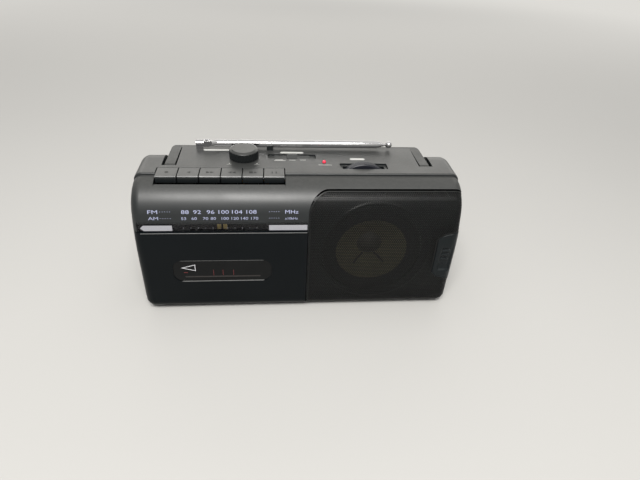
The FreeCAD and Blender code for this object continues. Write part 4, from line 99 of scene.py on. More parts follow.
class Finish(NodeTree):
    """A material under construction: its surface and the places that its patterns follow."""

    def __init__(self, name, roughness, shine=0.5, metallic=0.0):
        self.material = bpy.data.materials.new(name)
        self.material.use_nodes = True
        super().__init__(self.material.node_tree)
        self.surface = self.tree.nodes["Principled BSDF"]
        self.set("Roughness", roughness)
        self.set("Specular IOR Level", shine)
        self.set("Metallic", metallic)
        self.place = self.step("ShaderNodeTexCoord").outputs["Object"]

    def set(self, name, source):
        self.connect(source, self.surface.inputs[name])

    def noise(self, size, detail=2.0, stretch=(1, 1, 1)):
        """Random values from 0 to 1 whose features are about size across, drawn out along an axis by stretch."""
        scale = tuple(1 / (size * part) for part in stretch)
        mapping = self.step("ShaderNodeMapping", Vector=self.place, Scale=scale)
        noise = self.step("ShaderNodeTexNoise", Vector=mapping.outputs[0], Scale=1, Detail=detail)
        return noise.outputs["Fac"]

    def ramp(self, source, low, high, to_low, to_high, curve="LINEAR"):
        change = self.step("ShaderNodeMapRange", {"interpolation_type": curve}, Value=source, From_Min=low,
                           From_Max=high, To_Min=to_low, To_Max=to_high)
        return change.outputs["Result"]

    def blend(self, amount, first, second):
        """A colour between two colours, or between an earlier result and a colour."""
        first, second = (colour if isinstance(colour, bpy.types.NodeSocket) else (*colour, 1)
                         for colour in (first, second))
        mix = self.step("ShaderNodeMix", {"data_type": "RGBA"}, Factor=amount, A=first, B=second)
        return mix.outputs["Result"]

    def colour(self, source):
        self.set("Base Color", source)

    def mottle(self, colour, size, spread):
        """A colour that is a little darker and lighter in soft patches."""
        darker = tuple(part * (1 - spread) for part in colour)
        lighter = tuple(part * (1 + spread) for part in colour)
        return self.blend(self.ramp(self.noise(size), 0.3, 0.7, 0, 1), darker, lighter)

    def roughness(self, size, low, high, stretch=(1, 1, 1)):
        self.set("Roughness", self.ramp(self.noise(size, stretch=stretch), 0.3, 0.7, low, high))

    def relief(self, height, strength, depth, edge=0.0):
        """Bumps from a pattern, on a surface whose sharp edges are softened by edge."""
        bump = self.step("ShaderNodeBump", Strength=strength, Distance=depth, Height=height)
        if edge:
            bevel = self.step("ShaderNodeBevel", {"samples": 4}, Radius=edge)
            self.connect(bevel.outputs["Normal"], bump.inputs["Normal"])
        self.set("Normal", bump.outputs["Normal"])

    def facing_up(self, low=0.55, high=0.95):
        """How much the surface faces up, from 0 to 1."""
        normal = self.step("ShaderNodeNewGeometry").outputs["Normal"]
        return self.ramp(self.step("ShaderNodeSeparateXYZ", Vector=normal).outputs["Z"], low, high, 0, 1)


def placed(name, data):
    """A new object in the scene."""
    piece = bpy.data.objects.new(name, data)
    bpy.context.scene.collection.objects.link(piece)
    return piece


def mix_shaders(tree, amount, first, second, output):
    """End a tree in a mix of two shaders."""
    both = tree.step("ShaderNodeMixShader", Fac=amount)
    tree.connect(first.outputs[0], both.inputs[1])
    tree.connect(second.outputs[0], both.inputs[2])
    tree.connect(both.outputs[0], tree.tree.nodes[output].inputs["Surface"])


def make_table():
    """A flat square top, as pale as the wall where it is far away."""
    mesh = bpy.data.meshes.new("table_top")
    half = TABLE_SIZE / 2
    mesh.from_pydata([(-half, -half, 0), (half, -half, 0), (half, half, 0), (-half, half, 0)], [], [(0, 1, 2, 3)])
    table = Finish("pale_table", 0.85, 0.1)
    lighter = tuple(part * 1.03 for part in TABLE_COLOUR)
    table.colour(table.blend(table.noise(TABLE_CLOUD), TABLE_COLOUR, lighter))
    fading = table.ramp(table.vector("LENGTH", table.place), CLEAR_REACH, HAZY_REACH, 0, 1, "SMOOTHSTEP")
    haze = table.step("ShaderNodeEmission", Color=WALL_COLOUR, Strength=WALL_LIGHT)
    mix_shaders(table, fading, table.surface, haze, "Material Output")
    mesh.materials.append(table.material)
    placed("table_top", mesh)


def make_wall():
    """The room round the table: pale where it is seen or mirrored, dimmer as a lamp."""
    world = bpy.data.worlds.new("pale_room")
    bpy.context.scene.world = world
    world.use_nodes = True
    room = NodeTree(world.node_tree)
    shown = room.tree.nodes["Background"]
    room.connect(WALL_COLOUR, shown.inputs["Color"])
    room.connect(WALL_LIGHT, shown.inputs["Strength"])
    filling = room.step("ShaderNodeBackground", Color=FILL_COLOUR, Strength=FILL_LIGHT)
    path = room.step("ShaderNodeLightPath").outputs
    seen = room.sum("MAXIMUM", path["Is Camera Ray"], path["Is Glossy Ray"])
    seen = room.sum("MAXIMUM", seen, path["Is Transmission Ray"])
    mix_shaders(room, seen, filling, shown, "World Output")


def make_lamp(name, place, aim, size, power, colour):
    lamp = bpy.data.lights.new(name, "AREA")
    lamp.shape = "RECTANGLE"
    lamp.size, lamp.size_y = size
    lamp.energy = power
    lamp.color = colour
    holder = placed(name, lamp)
    holder.location = place
    holder.rotation_euler = (Vector(aim) - Vector(place)).to_track_quat("-Z", "Y").to_euler()


def make_camera():
    forward = Vector((math.sin(CAMERA_TURN) * math.cos(CAMERA_TILT),
                      math.cos(CAMERA_TURN) * math.cos(CAMERA_TILT), -math.sin(CAMERA_TILT)))
    level = Vector((math.cos(CAMERA_TURN), -math.sin(CAMERA_TURN), 0))
    upward = level.cross(forward)
    across = math.cos(CAMERA_ROLL) * level - math.sin(CAMERA_ROLL) * upward
    above = math.sin(CAMERA_ROLL) * level + math.cos(CAMERA_ROLL) * upward
    eye = bpy.data.cameras.new("camera")
    eye.lens = CAMERA_LENS
    eye.sensor_width = 36
    eye.clip_start, eye.clip_end = 0.01, 50
    camera = placed("camera", eye)
    camera.matrix_world = (Matrix.Translation(CAMERA_PLACE)
                           @ Matrix((across, above, -forward)).transposed().to_4x4())
    bpy.context.scene.camera = camera


make_camera()
make_table()
make_wall()
make_lamp("ceiling_panel", (0, -0.1, 1.65), (0, 0, 0), (2.6, 1.8), 10, (1, 0.99, 0.97))
make_lamp("ceiling_lamp", (-0.1, -0.82, 1.36), (0, 0, 0.05), (0.85, 0.46), 28, (1, 0.985, 0.96))
make_lamp("front_glow", (-0.3, -1.7, 1.0), (0, 0, 0.08), (1.6, 0.7), 3, (1, 0.985, 0.96))
make_lamp("wall_glow", (0.1, 1.35, 0.7), (0, 0, 0.12), (2.4, 0.8), 9, (1, 0.98, 0.94))
bpy.context.scene.view_settings.view_transform = "Standard"

# ---- cabinet halves ----
# Two shells of black polystyrene, moulded with a fine satin grain and screwed together at the seam. The grain
# has worn a little smoother in large soft patches. What faces up is painted a paler grey: partly thin dust, partly
# a painted sheen that makes the deck lighter than the front.

CABINET_BLACK = (0.0055, 0.0075, 0.0085)
# Paler grey laid on what faces up: partly thin dust, partly a painted sheen that lightens the deck and other tops.
DUST_AND_SHEEN_GREY = (0.12, 0.118, 0.11)
GRAIN = 0.45 * MM
MOULDED_EDGE = 0.35 * MM


def moulded(name, colour, rough=(0.34, 0.42), relief=0.25, dust_and_sheen=0.0, shine=0.3):
    """Injection-moulded plastic: an even colour, satin patches, a fine tooled grain and soft edges."""
    finish = Finish(name, rough[0], shine)
    body = finish.mottle(colour, 60 * MM, 0.08)
    # A paler grey on what faces up: partly thin dust, partly a painted sheen.
    if dust_and_sheen:
        specks = finish.ramp(finish.noise(2.5 * MM, 4), 0.3, 0.8, 0.6, 1)
        cover = finish.sum("MULTIPLY", finish.sum("MULTIPLY", finish.facing_up(), specks), dust_and_sheen)
        body = finish.blend(cover, body, DUST_AND_SHEEN_GREY)
    finish.colour(body)
    finish.roughness(25 * MM, *rough)
    finish.relief(finish.noise(GRAIN, 3), relief, 0.06 * MM, MOULDED_EDGE)
    return finish.material


def dress(material, *names):
    """Give carried-over solids their finish, in place of the plain one."""
    for name in names:
        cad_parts[name].data.materials.clear()
        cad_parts[name].data.materials.append(material)


cabinet_plastic = moulded("cabinet_plastic", CABINET_BLACK, (0.37, 0.44), dust_and_sheen=0.3, shine=0.5)
dress(cabinet_plastic, "front_cabinet", "rear_cabinet")

# ---- feet, case screws and sockets ----
# Four soft rubber feet are glued into the bottom and four zinc-plated screws hold the halves together. The mains
# socket fills its opening in the back, and the earphone jack its hole in the left end.

RUBBER_BLACK = (0.018, 0.018, 0.018)
ZINC_GREY = (0.52, 0.53, 0.54)
SPRING_GREY = (0.4, 0.4, 0.41)
SOCKET_BLACK = (0.012, 0.012, 0.013)


def rubber(name, colour):
    finish = Finish(name, 0.8, 0.3)
    finish.colour(finish.mottle(colour, 4 * MM, 0.25))
    finish.roughness(6 * MM, 0.7, 0.9)
    finish.relief(finish.noise(0.3 * MM, 4), 0.5, 0.08 * MM, 0.2 * MM)
    return finish.material


def metal(name, colour, rough, grain=0.5 * MM, stretch=(1, 1, 1), relief=0.1):
    """Bare or plated metal with fine marks from rolling, turning or polishing."""
    finish = Finish(name, rough[0], metallic=1.0)
    finish.colour(finish.mottle(colour, 12 * MM, 0.07))
    finish.roughness(5 * MM, *rough, stretch=stretch)
    finish.relief(finish.noise(grain, 3, stretch), relief, 0.02 * MM, 0.15 * MM)
    return finish.material


dress(rubber("foot_rubber", RUBBER_BLACK), "feet")
dress(metal("screw_steel", ZINC_GREY, (0.28, 0.42)), "case_screws")
dress(metal("spring_steel", SPRING_GREY, (0.3, 0.45), stretch=(6, 1, 1)), "battery_contacts", "door_spring")
dress(moulded("socket_plastic", SOCKET_BLACK, (0.3, 0.4), relief=0.1), "ac_inlet", "earphone_jack")

# ---- piano keys ----
# Six tape keys of black polystyrene turn on one steel rod in a folded bracket. Each has its plain sign moulded
# into its top, a hair proud, and its arms hook over the rod. A strip of the case closes the well in front of them.

KEY_BLACK = (0.009, 0.011, 0.012)
ROD_GREY = (0.16, 0.16, 0.17)
SHEET_BLACK = (0.03, 0.03, 0.032)
KEY_NAMES = ("key_record", "key_play", "key_rewind", "key_fast_forward", "key_stop_eject", "key_pause")
FACE_HEIGHT = 62 * MM
LEAN_RADIUS = 150 * MM
LEAN = math.radians(16)
BROW_RADIUS = 30 * MM
WELL_AHEAD = 8.2 * MM
LIP_WIDE = 3.2 * MM
LIP_THICK = 2.2 * MM
LIP_BESIDE = 0.4 * MM
SIGN_COLOUR = (0.012, 0.012, 0.012)
SIGN_SIZE = 3.2 * MM
SIGN_PROUD = 0.12 * MM
KEY_SIGNS = {
    "key_record": ["dot"],
    "key_play": ["back"],
    "key_rewind": ["forth", "forth"],
    "key_fast_forward": ["back", "back"],
    "key_stop_eject": ["square", "up"],
    "key_pause": ["bar", "bar"],
}

front_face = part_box("front_cabinet")[0][1]
lean_centre = Vector((0, front_face + LEAN_RADIUS, FACE_HEIGHT))
brow_centre = lean_centre + (LEAN_RADIUS - BROW_RADIUS) * Vector((0, -math.cos(LEAN), math.sin(LEAN)))
lean_end = FACE_HEIGHT + LEAN_RADIUS * LEAN


def on_front(across, rise, depth=0.0):
    """A point of the cabinet's front: rise is measured up along the skin, depth into it."""
    if rise <= FACE_HEIGHT:
        return Vector((across, front_face + depth, rise))
    centre, radius, angle = lean_centre, LEAN_RADIUS, (rise - FACE_HEIGHT) / LEAN_RADIUS
    if rise > lean_end:
        centre, radius, angle = brow_centre, BROW_RADIUS, LEAN + (rise - lean_end) / BROW_RADIUS
    reach = radius - depth
    return Vector((across, centre.y - reach * math.cos(angle), centre.z + reach * math.sin(angle)))


def rise_of(height):
    """How far up along the skin a point at this height is."""
    if height <= FACE_HEIGHT:
        return height
    angle = math.asin((height - FACE_HEIGHT) / LEAN_RADIUS)
    if angle <= LEAN:
        return FACE_HEIGHT + LEAN_RADIUS * angle
    return lean_end + BROW_RADIUS * (math.asin((height - brow_centre.z) / BROW_RADIUS) - LEAN)


def rise_at(along):
    """How far up along the skin a point of the brow at this depth is."""
    return lean_end + BROW_RADIUS * (math.acos((brow_centre.y - along) / BROW_RADIUS) - LEAN)


def keep(piece, body, slot, *replaced):
    """Hand a finished piece to the body that it moves with."""
    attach(piece, body)
    if replaced:
        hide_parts(*replaced)
    return piece


def new_piece(name, mesh, material):
    mesh.materials.clear()
    mesh.materials.append(material)
    return placed(name, mesh)


def mesh_of(shape, name, outward=True):
    """The mesh of a finished shape, with its faces turned outward."""
    if outward:
        bmesh.ops.recalc_face_normals(shape, faces=shape.faces)
    mesh = bpy.data.meshes.new(name)
    shape.to_mesh(mesh)
    shape.free()
    return mesh


def corners_of(node):
    """A solid's lowest and highest corner."""
    return (Vector(corner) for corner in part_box(node))


def thin_shape(outlines, thickness):
    """A mesh of flat shapes with a little thickness, each outline given anticlockwise."""
    shape = bmesh.new()
    for outline in outlines:
        low = [shape.verts.new((across, along, 0)) for across, along in outline]
        high = [shape.verts.new((across, along, thickness)) for across, along in outline]
        shape.faces.new(list(reversed(low)))
        shape.faces.new(high)
        for index in range(len(outline)):
            after = (index + 1) % len(outline)
            shape.faces.new((low[index], low[after], high[after], high[index]))
    return mesh_of(shape, "thin_shape")


def sign_outline(kind, middle, size):
    """One sign of the tape-key set, centred on middle along the row."""
    half = size / 2
    corners = {
        "back": [(half, -half), (half, half), (-half, 0)],
        "forth": [(-half, -half), (half, 0), (-half, half)],
        "up": [(-half, -half * 0.6), (half, -half * 0.6), (0, half)],
        "square": [(-half, -half), (half, -half), (half, half), (-half, half)],
        "bar": [(-half * 0.3, -half), (half * 0.3, -half), (half * 0.3, half), (-half * 0.3, half)],
        "dot": [(half * math.cos(math.tau * step / 20), half * math.sin(math.tau * step / 20))
                for step in range(20)],
    }[kind]
    return [(middle + across, along) for across, along in corners]


def top_of(node, across, along):
    """Where a solid's upper side is, straight above a place, and which way it faces there."""
    hit, spot, slope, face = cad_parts[node].ray_cast(Vector((across, along, 1)), Vector((0, 0, -1)))
    return spot, slope


key_plastic = moulded("key_plastic", KEY_BLACK, (0.3, 0.38), dust_and_sheen=0.3, shine=0.5)
keys_left, key_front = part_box(KEY_NAMES[0])[0][:2]
keys_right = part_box(KEY_NAMES[-1])[1][0]
sign_paint = moulded("key_sign_paint", SIGN_COLOUR, (0.5, 0.6), relief=0.05)
for key in KEY_NAMES:
    dress(key_plastic, key)
    low, high = corners_of(key)
    signs = KEY_SIGNS[key]
    row = [(index - (len(signs) - 1) / 2) * SIGN_SIZE * 1.1 for index in range(len(signs))]
    mesh = thin_shape([sign_outline(kind, place, SIGN_SIZE) for kind, place in zip(signs, row)], SIGN_PROUD)
    middle = Vector(((low.x + high.x) / 2, low.y + (high.y - low.y) * 0.42))
    spot, slope = top_of(key, middle.x, middle.y)
    tilt = Vector((0, 0, 1)).rotation_difference(slope).to_matrix().to_4x4()
    mesh.transform(Matrix.Translation(spot - slope * SIGN_PROUD / 2) @ tilt)
    keep(new_piece(key + "_sign", mesh, sign_paint), key, "black_plastic")


def front_strip(name, left, right, low, high):
    """A strip of the cabinet's skin that closes part of an opening, low and high measured up along the skin."""
    shape = bmesh.new()
    rings = []
    for across in (left, right):
        face = [on_front(across, low + (high - low) * step / 4, 0.05 * MM) for step in range(5)]
        face += [on_front(across, low + (high - low) * step / 4, LIP_THICK) for step in range(4, -1, -1)]
        rings.append([shape.verts.new(place) for place in face])
    for step in range(10):
        after = (step + 1) % 10
        shape.faces.new((rings[0][step], rings[0][after], rings[1][after], rings[1][step]))
    for ring in rings:
        shape.faces.new(ring)
    return keep(new_piece(name, mesh_of(shape, name), cabinet_plastic), "cabinet", "charcoal_plastic")


well_edge = rise_at(key_front - WELL_AHEAD)
front_strip("key_well_lip", keys_left - LIP_BESIDE, keys_right + LIP_BESIDE, well_edge, well_edge + LIP_WIDE)

dress(metal("steel_rod", ROD_GREY, (0.3, 0.42), stretch=(8, 1, 1)), "key_shaft")
dress(metal("black_sheet", SHEET_BLACK, (0.42, 0.55), grain=0.8 * MM), "key_bracket")

# ---- deck: printing, volume knob, slider, lamp and tuning wheel ----
# White pads and short lines are printed on the deck beside each control. The controls themselves are separate
# mouldings: a fluted knob, a slider in its recess, a red lamp and a ribbed thumb wheel on the tuner's shaft.

INK_WHITE = (0.5, 0.5, 0.48)
INK_THICK = 0.06 * MM
PAD_HEIGHT = 3.4 * MM
LAMP_RED = (0.75, 0.03, 0.07)
KNOB_BLACK = (0.009, 0.0105, 0.011)
WHEEL_BLACK = (0.014, 0.015, 0.021)
WHEEL_RIBS = 110
RIB_SIZE = (0.7 * MM, 0.6 * MM, 5.6 * MM)
POINTER_THICK, POINTER_SUNK = 0.35 * MM, 0.36 * MM
POINTER_TURN = math.radians(28)
TIN_GREY = (0.58, 0.58, 0.56)
SWITCH_GREY = (0.5, 0.5, 0.48)


def ink(name, colour):
    """Screen-printed ink: flat and slightly chalky, thinner in places."""
    finish = Finish(name, 0.6)
    finish.colour(finish.mottle(colour, 0.8 * MM, 0.1))
    finish.roughness(3 * MM, 0.5, 0.7)
    finish.relief(finish.noise(0.2 * MM, 2), 0.15, 0.01 * MM)
    return finish.material


def pad_outline(left, right, middle, height):
    """A bar with round ends."""
    radius = height / 2
    outline = []
    for centre, start in ((right - radius, -90), (left + radius, 90)):
        for step in range(9):
            angle = math.radians(start + step * 22.5)
            outline.append((centre + radius * math.cos(angle), middle + radius * math.sin(angle)))
    return outline


def box_outline(left, right, low, high):
    return [(left, low), (right, low), (right, high), (left, high)]


def print_on_deck(name, outlines):
    mesh = thin_shape(outlines, INK_THICK)
    mesh.transform(Matrix.Translation((0, 0, deck_height)))
    return keep(new_piece(name, mesh, white_ink), "cabinet", "white_plastic")


def bar_beside(control, left, right, low, high):
    """A square-ended bar, placed in millimetres from a control's centre."""
    return box_outline(control.x + left * MM, control.x + right * MM, control.y + low * MM, control.y + high * MM)


def centre_of(node):
    low, high = corners_of(node)
    return (low + high) / 2


white_ink = ink("white_ink", INK_WHITE)
knob, slider, lamp, wheel = (centre_of(name) for name in
                             ("volume_knob", "function_slider", "power_led", "tuning_wheel"))
knob_low, knob_high = corners_of("volume_knob")
knob_radius = (knob_high.x - knob_low.x) / 2
deck_height = top_of("rear_cabinet", lamp.x, lamp.y + 8 * MM)[0].z
for name, control, left, right, up, taller in (("volume_pad", knob, -38, -12.6, 14.8, 1),
                                               ("function_pad", slider, -11, 11, 8.2, 1),
                                               ("tuning_pad", wheel, -11, 3, 10.4, 1.1)):
    print_on_deck(name, [pad_outline(control.x + left * MM, control.x + right * MM, control.y + up * MM,
                                     PAD_HEIGHT * taller)])
marks = [bar_beside(knob, left, right, -14.9, -14.6) for left, right in ((-14.6, -10.4), (9.6, 14.4))]
marks += [pad_outline(knob.x + (side - 0.6) * MM, knob.x + (side + 0.6) * MM, knob.y - 12.8 * MM, 1.2 * MM)
          for side in (-12.4, 12)]
print_on_deck("volume_marks", marks)
print_on_deck("function_marks", [bar_beside(slider, left, right, low, low + 0.7) for left, right, low in
                                 ((-15.5, -8.5, -7.4), (-16.5, -6, -9), (-3, 3, -8), (7, 12.5, -7.6))])
print_on_deck("lamp_mark", [bar_beside(lamp, -5.6, 6.6, -5.6, -5)])

wheel_plastic = moulded("wheel_plastic", WHEEL_BLACK, (0.3, 0.4), relief=0.15)
dress(moulded("knob_plastic", KNOB_BLACK, (0.32, 0.44), dust_and_sheen=0.4), "volume_knob")
dress(wheel_plastic, "tuning_wheel")
dress(moulded("slider_plastic", KEY_BLACK, (0.38, 0.48), dust_and_sheen=0.25), "function_slider")

mesh = thin_shape([box_outline(-knob_radius * 0.86, -knob_radius * 0.3, -0.6 * MM, 0.6 * MM)], POINTER_THICK)
mesh.transform(Matrix.Translation((knob.x, knob.y, knob_high.z - POINTER_SUNK))
               @ Matrix.Rotation(POINTER_TURN, 4, "Z"))
keep(new_piece("volume_pointer", mesh, sign_paint), "volume_knob", "black_plastic")

lens = Finish("lamp_lens", 0.16)
lens.colour(lens.mottle(LAMP_RED, 1.5 * MM, 0.12))
lens.relief(lens.noise(0.5 * MM), 0.1, 0.02 * MM, 0.2 * MM)
lens.set("Emission Color", (*LAMP_RED, 1))
lens.set("Emission Strength", 0.35)
dress(lens.material, "power_led")


class Recipe(NodeTree):
    """A Geometry Nodes tree under construction, whose named inputs set its sizes."""

    def __init__(self, name):
        super().__init__(bpy.data.node_groups.new(name, "GeometryNodeTree"))
        self.inputs = {}
        self.tree.interface.new_socket("Result", in_out="OUTPUT", socket_type="NodeSocketGeometry")
        self.entry = self.tree.nodes.new("NodeGroupInput")
        self.exit = self.tree.nodes.new("NodeGroupOutput")

    def ask(self, name, kind):
        """A named input of the tree."""
        self.inputs[name] = self.tree.interface.new_socket(name, in_out="INPUT", socket_type="NodeSocket" + kind)
        return self.entry.outputs[name]

    def finish(self, geometry, material):
        """Close the tree: make instances real, give the result its material and hand it out."""
        real = self.step("GeometryNodeRealizeInstances", Geometry=geometry)
        coated = self.step("GeometryNodeSetMaterial", Geometry=real.outputs[0], Material=material)
        self.tree.links.new(coated.outputs[0], self.exit.inputs[0])

    def run(self, name, values):
        """The plain mesh that the tree makes from these input values."""
        base = placed(name, bpy.data.meshes.new(name))
        modifier = base.modifiers.new(name, "NODES")
        modifier.node_group = self.tree
        for title, amount in values.items():
            modifier[self.inputs[title].identifier] = amount
        graph = bpy.context.evaluated_depsgraph_get()
        mesh = bpy.data.meshes.new_from_object(base.evaluated_get(graph))
        base.modifiers.remove(modifier)
        bpy.data.objects.remove(base)
        return mesh


def ring_of_ribs():
    """Small upright blocks, evenly spaced round a wheel's rim."""
    recipe = Recipe("ring_of_ribs")
    count, radius = recipe.ask("Count", "Int"), recipe.ask("Radius", "Float")
    size, material = recipe.ask("Rib Size", "Vector"), recipe.ask("Material", "Material")
    circle = recipe.step("GeometryNodeMeshCircle", Vertices=count, Radius=radius)
    block = recipe.step("GeometryNodeMeshCube", Size=size)
    place = recipe.step("GeometryNodeInputPosition")
    turn = recipe.step("FunctionNodeAlignRotationToVector", {"axis": "X"}, Vector=place.outputs[0])
    blocks = recipe.step("GeometryNodeInstanceOnPoints", Points=circle.outputs[0], Instance=block.outputs[0],
                         Rotation=turn.outputs[0])
    recipe.finish(blocks.outputs[0], material)
    return recipe


wheel_low, wheel_high = corners_of("tuning_wheel")
ribs = ring_of_ribs().run("tuning_ribs", {
    "Count": WHEEL_RIBS, "Radius": (wheel_high.x - wheel_low.x) / 2, "Rib Size": RIB_SIZE,
    "Material": wheel_plastic})
ribs.transform(Matrix.Translation((wheel.x, wheel_low.y + 3.3 * MM, wheel.z))
               @ Matrix.Rotation(math.pi / 2, 4, "X"))
keep(new_piece("tuning_wheel_ribs", ribs, wheel_plastic), "tuning_wheel", "black_plastic")

dress(metal("potentiometer_tin", TIN_GREY, (0.3, 0.45)), "volume_potentiometer")
dress(metal("switch_tin", SWITCH_GREY, (0.3, 0.45)), "function_switch")

# ---- tuning dial ----
# A clear strip closes the dial. Behind it a brass-coloured pointer hangs from the cord and slides along a black
# plate with a white pad at each end. A lip of the case covers the strip's upper edge, and the scale is printed on
# the brow above, in plain wide figures.

INK_LILAC = (0.36, 0.38, 0.54)
LABEL_WHITE = (0.37, 0.37, 0.4)
POINTER_BRASS = (0.3, 0.24, 0.11)
DIAL_BLACK = (0.016, 0.016, 0.018)
FIGURE_CUTS = 6
DIAL_LIP = 1.9 * MM
FIGURE_STEPS = 3
DOT_SIZE = 0.5 * MM
DOT_ROWS = ((-118.8, 2.05), (-27.9, 1.95))
STRIP_BLACK = (0.012, 0.012, 0.013)
CORD_BEIGE = (0.5, 0.46, 0.36)
SCALES = (
    ("fm_scale", 103.7, 3.3, 1.5, (("88", -98.3), ("92", -88.3), ("96", -77.2), ("100", -66.9), ("104", -55.7),
                                   ("108", -43.7)), (("FM", -124.8, 1, 1.6), ("MHz", -9.2, 1, 1.35))),
    ("am_scale", 98.6, 2.5, 1.38, (("53", -99.6), ("60", -91), ("70", -81.6), ("80", -75.2), ("100", -65.7),
                                   ("120", -57.4), ("140", -49.4), ("170", -41)),
     (("AM", -124.4, 1.12, 1.55), ("x10kHz", -9.4, 0.85, 1.2))),
)


def settled(name, data):
    """The plain mesh that a text or a curve makes."""
    holder = placed(name, data)
    mesh = bpy.data.meshes.new_from_object(holder.evaluated_get(bpy.context.evaluated_depsgraph_get()))
    bpy.data.objects.remove(holder)
    return mesh


def figures(words, middle, low, height, widening):
    """Printed figures as a thin mesh, low and middle giving their foot and centre on the front."""
    text = bpy.data.curves.new("figures", "FONT")
    text.body = words
    text.size = height / 0.73
    text.align_x = "CENTER"
    text.extrude = INK_THICK / 2
    text.resolution_u = FIGURE_STEPS
    mesh = settled("figures", text)
    foot = rise_of(low)
    shape = bmesh.new()
    shape.from_mesh(mesh)
    for cut in range(1, FIGURE_CUTS):
        everything = shape.verts[:] + shape.edges[:] + shape.faces[:]
        bmesh.ops.bisect_plane(shape, geom=everything, plane_co=(0, height * cut / FIGURE_CUTS, 0),
                               plane_no=(0, 1, 0))
    for vertex in shape.verts:
        across, up, out = vertex.co
        vertex.co = on_front(middle + across * widening, foot + up, -out)
    shape.to_mesh(mesh)
    shape.free()
    return mesh


def front_dots(first, step, count, height, size):
    """A short row of small printed squares."""
    shape = bmesh.new()
    middle = rise_of(height)
    half = size / 2
    for index in range(count):
        across = first + index * step
        ring = [shape.verts.new(on_front(across + side * half, middle + up * half, depth * INK_THICK / 2))
                for depth in (1, -1) for side, up in ((-1, -1), (1, -1), (1, 1), (-1, 1))]
        shape.faces.new(ring[3::-1])
        shape.faces.new(ring[4:])
        for corner in range(4):
            after = (corner + 1) % 4
            shape.faces.new((ring[corner], ring[after], ring[4 + after], ring[4 + corner]))
    return mesh_of(shape, "front_dots")


def joined(name, meshes):
    """One mesh from many."""
    shape = bmesh.new()
    for mesh in meshes:
        shape.from_mesh(mesh)
        bpy.data.meshes.remove(mesh)
    return mesh_of(shape, name, outward=False)


scale_ink = ink("scale_ink", INK_LILAC)
for name, low, height, widening, numbers, units in SCALES:
    low, height = low * MM, height * MM
    row = [figures(number, across * MM, low, height, widening) for number, across in numbers]
    row += [figures(unit, across * MM, low, height * taller, wider) for unit, across, taller, wider in units]
    row += [front_dots(first * MM, step * MM, 5, low + height / 2, DOT_SIZE) for first, step in DOT_ROWS]
    keep(new_piece(name, joined(name, row), scale_ink), "cabinet", "white_plastic")

clear = Finish("dial_strip", 0.08, 0.3)
clear.set("Alpha", 0.2)
clear.colour(clear.mottle(STRIP_BLACK, 20 * MM, 0.1))
dress(clear.material, "dial_window")
dress(moulded("dial_black", DIAL_BLACK, (0.25, 0.35), relief=0.05), "dial_plate")
dress(metal("pointer_brass", POINTER_BRASS, (0.3, 0.45)), "dial_pointer")
thread = Finish("cord_thread", 0.8)
thread.colour(thread.mottle(CORD_BEIGE, 0.6 * MM, 0.3))
thread.relief(thread.noise(0.25 * MM, 3, (4, 1, 1)), 0.5, 0.05 * MM)
dress(thread.material, "dial_cord")

window_low, window_high = corners_of("dial_window")
label_ink = ink("label_ink", LABEL_WHITE)


def upright_pad(name, outlines, front):
    """A thin printed shape that stands upright behind the strip, its printed side to the front."""
    mesh = thin_shape(outlines, INK_THICK)
    mesh.transform(Matrix.Translation((0, front + INK_THICK, 0)) @ Matrix.Rotation(math.pi / 2, 4, "X"))
    return keep(new_piece(name, mesh, label_ink), "cabinet", "white_plastic")


strip_top = rise_of(window_high.z + 0.1 * MM)
front_strip("dial_lip", window_low.x - 0.05 * MM, window_high.x + 0.05 * MM, strip_top - DIAL_LIP, strip_top)
pad_low, pad_high = window_low.z + 0.5 * MM, window_low.z + 5.9 * MM
pad_middle = (pad_low + pad_high) / 2
left_pad = [(-110 * MM, pad_low), (-110 * MM, pad_high), (-133.6 * MM, pad_high), (-136.4 * MM, pad_middle),
            (-133.6 * MM, pad_low)]
right_pad = box_outline(-28.5 * MM, window_high.x - 0.3 * MM, pad_low, pad_high)
upright_pad("dial_end_pads", [left_pad, right_pad], window_low.y - INK_THICK)
tick_height = pad_middle - 1.2 * MM
ticks = [box_outline(across - 0.3 * MM, across + 0.3 * MM, tick_height - tall, tick_height + tall)
         for across, tall in (((-101 + 6.2 * index) * MM, (0.75 if index % 2 == 0 else 0.4) * MM)
                              for index in range(11))]
upright_pad("dial_ticks", ticks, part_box("dial_plate")[0][1] + 0.4 * MM)

# ---- speaker ----
# A pressed steel basket holds a brown paper cone with a rolled edge, a round dust cap and a ferrite magnet. Two
# tinsel leads run down the cone from the voice coil, each held by a spot of glue.

CONE_BROWN = (0.15, 0.135, 0.075)
FOAM_BLACK = (0.008, 0.008, 0.008)
PAPER_EDGE = 33.5 * MM
CAP_BROWN = (0.05, 0.045, 0.033)
FERRITE_GREY = (0.05, 0.05, 0.052)
BASKET_BLACK = (0.02, 0.02, 0.021)
LEAD_GREY = (0.035, 0.032, 0.03)
LEAD_RADIUS = 0.8 * MM
CORD_ROUNDING = 2
LEAD_REACH = 24 * MM

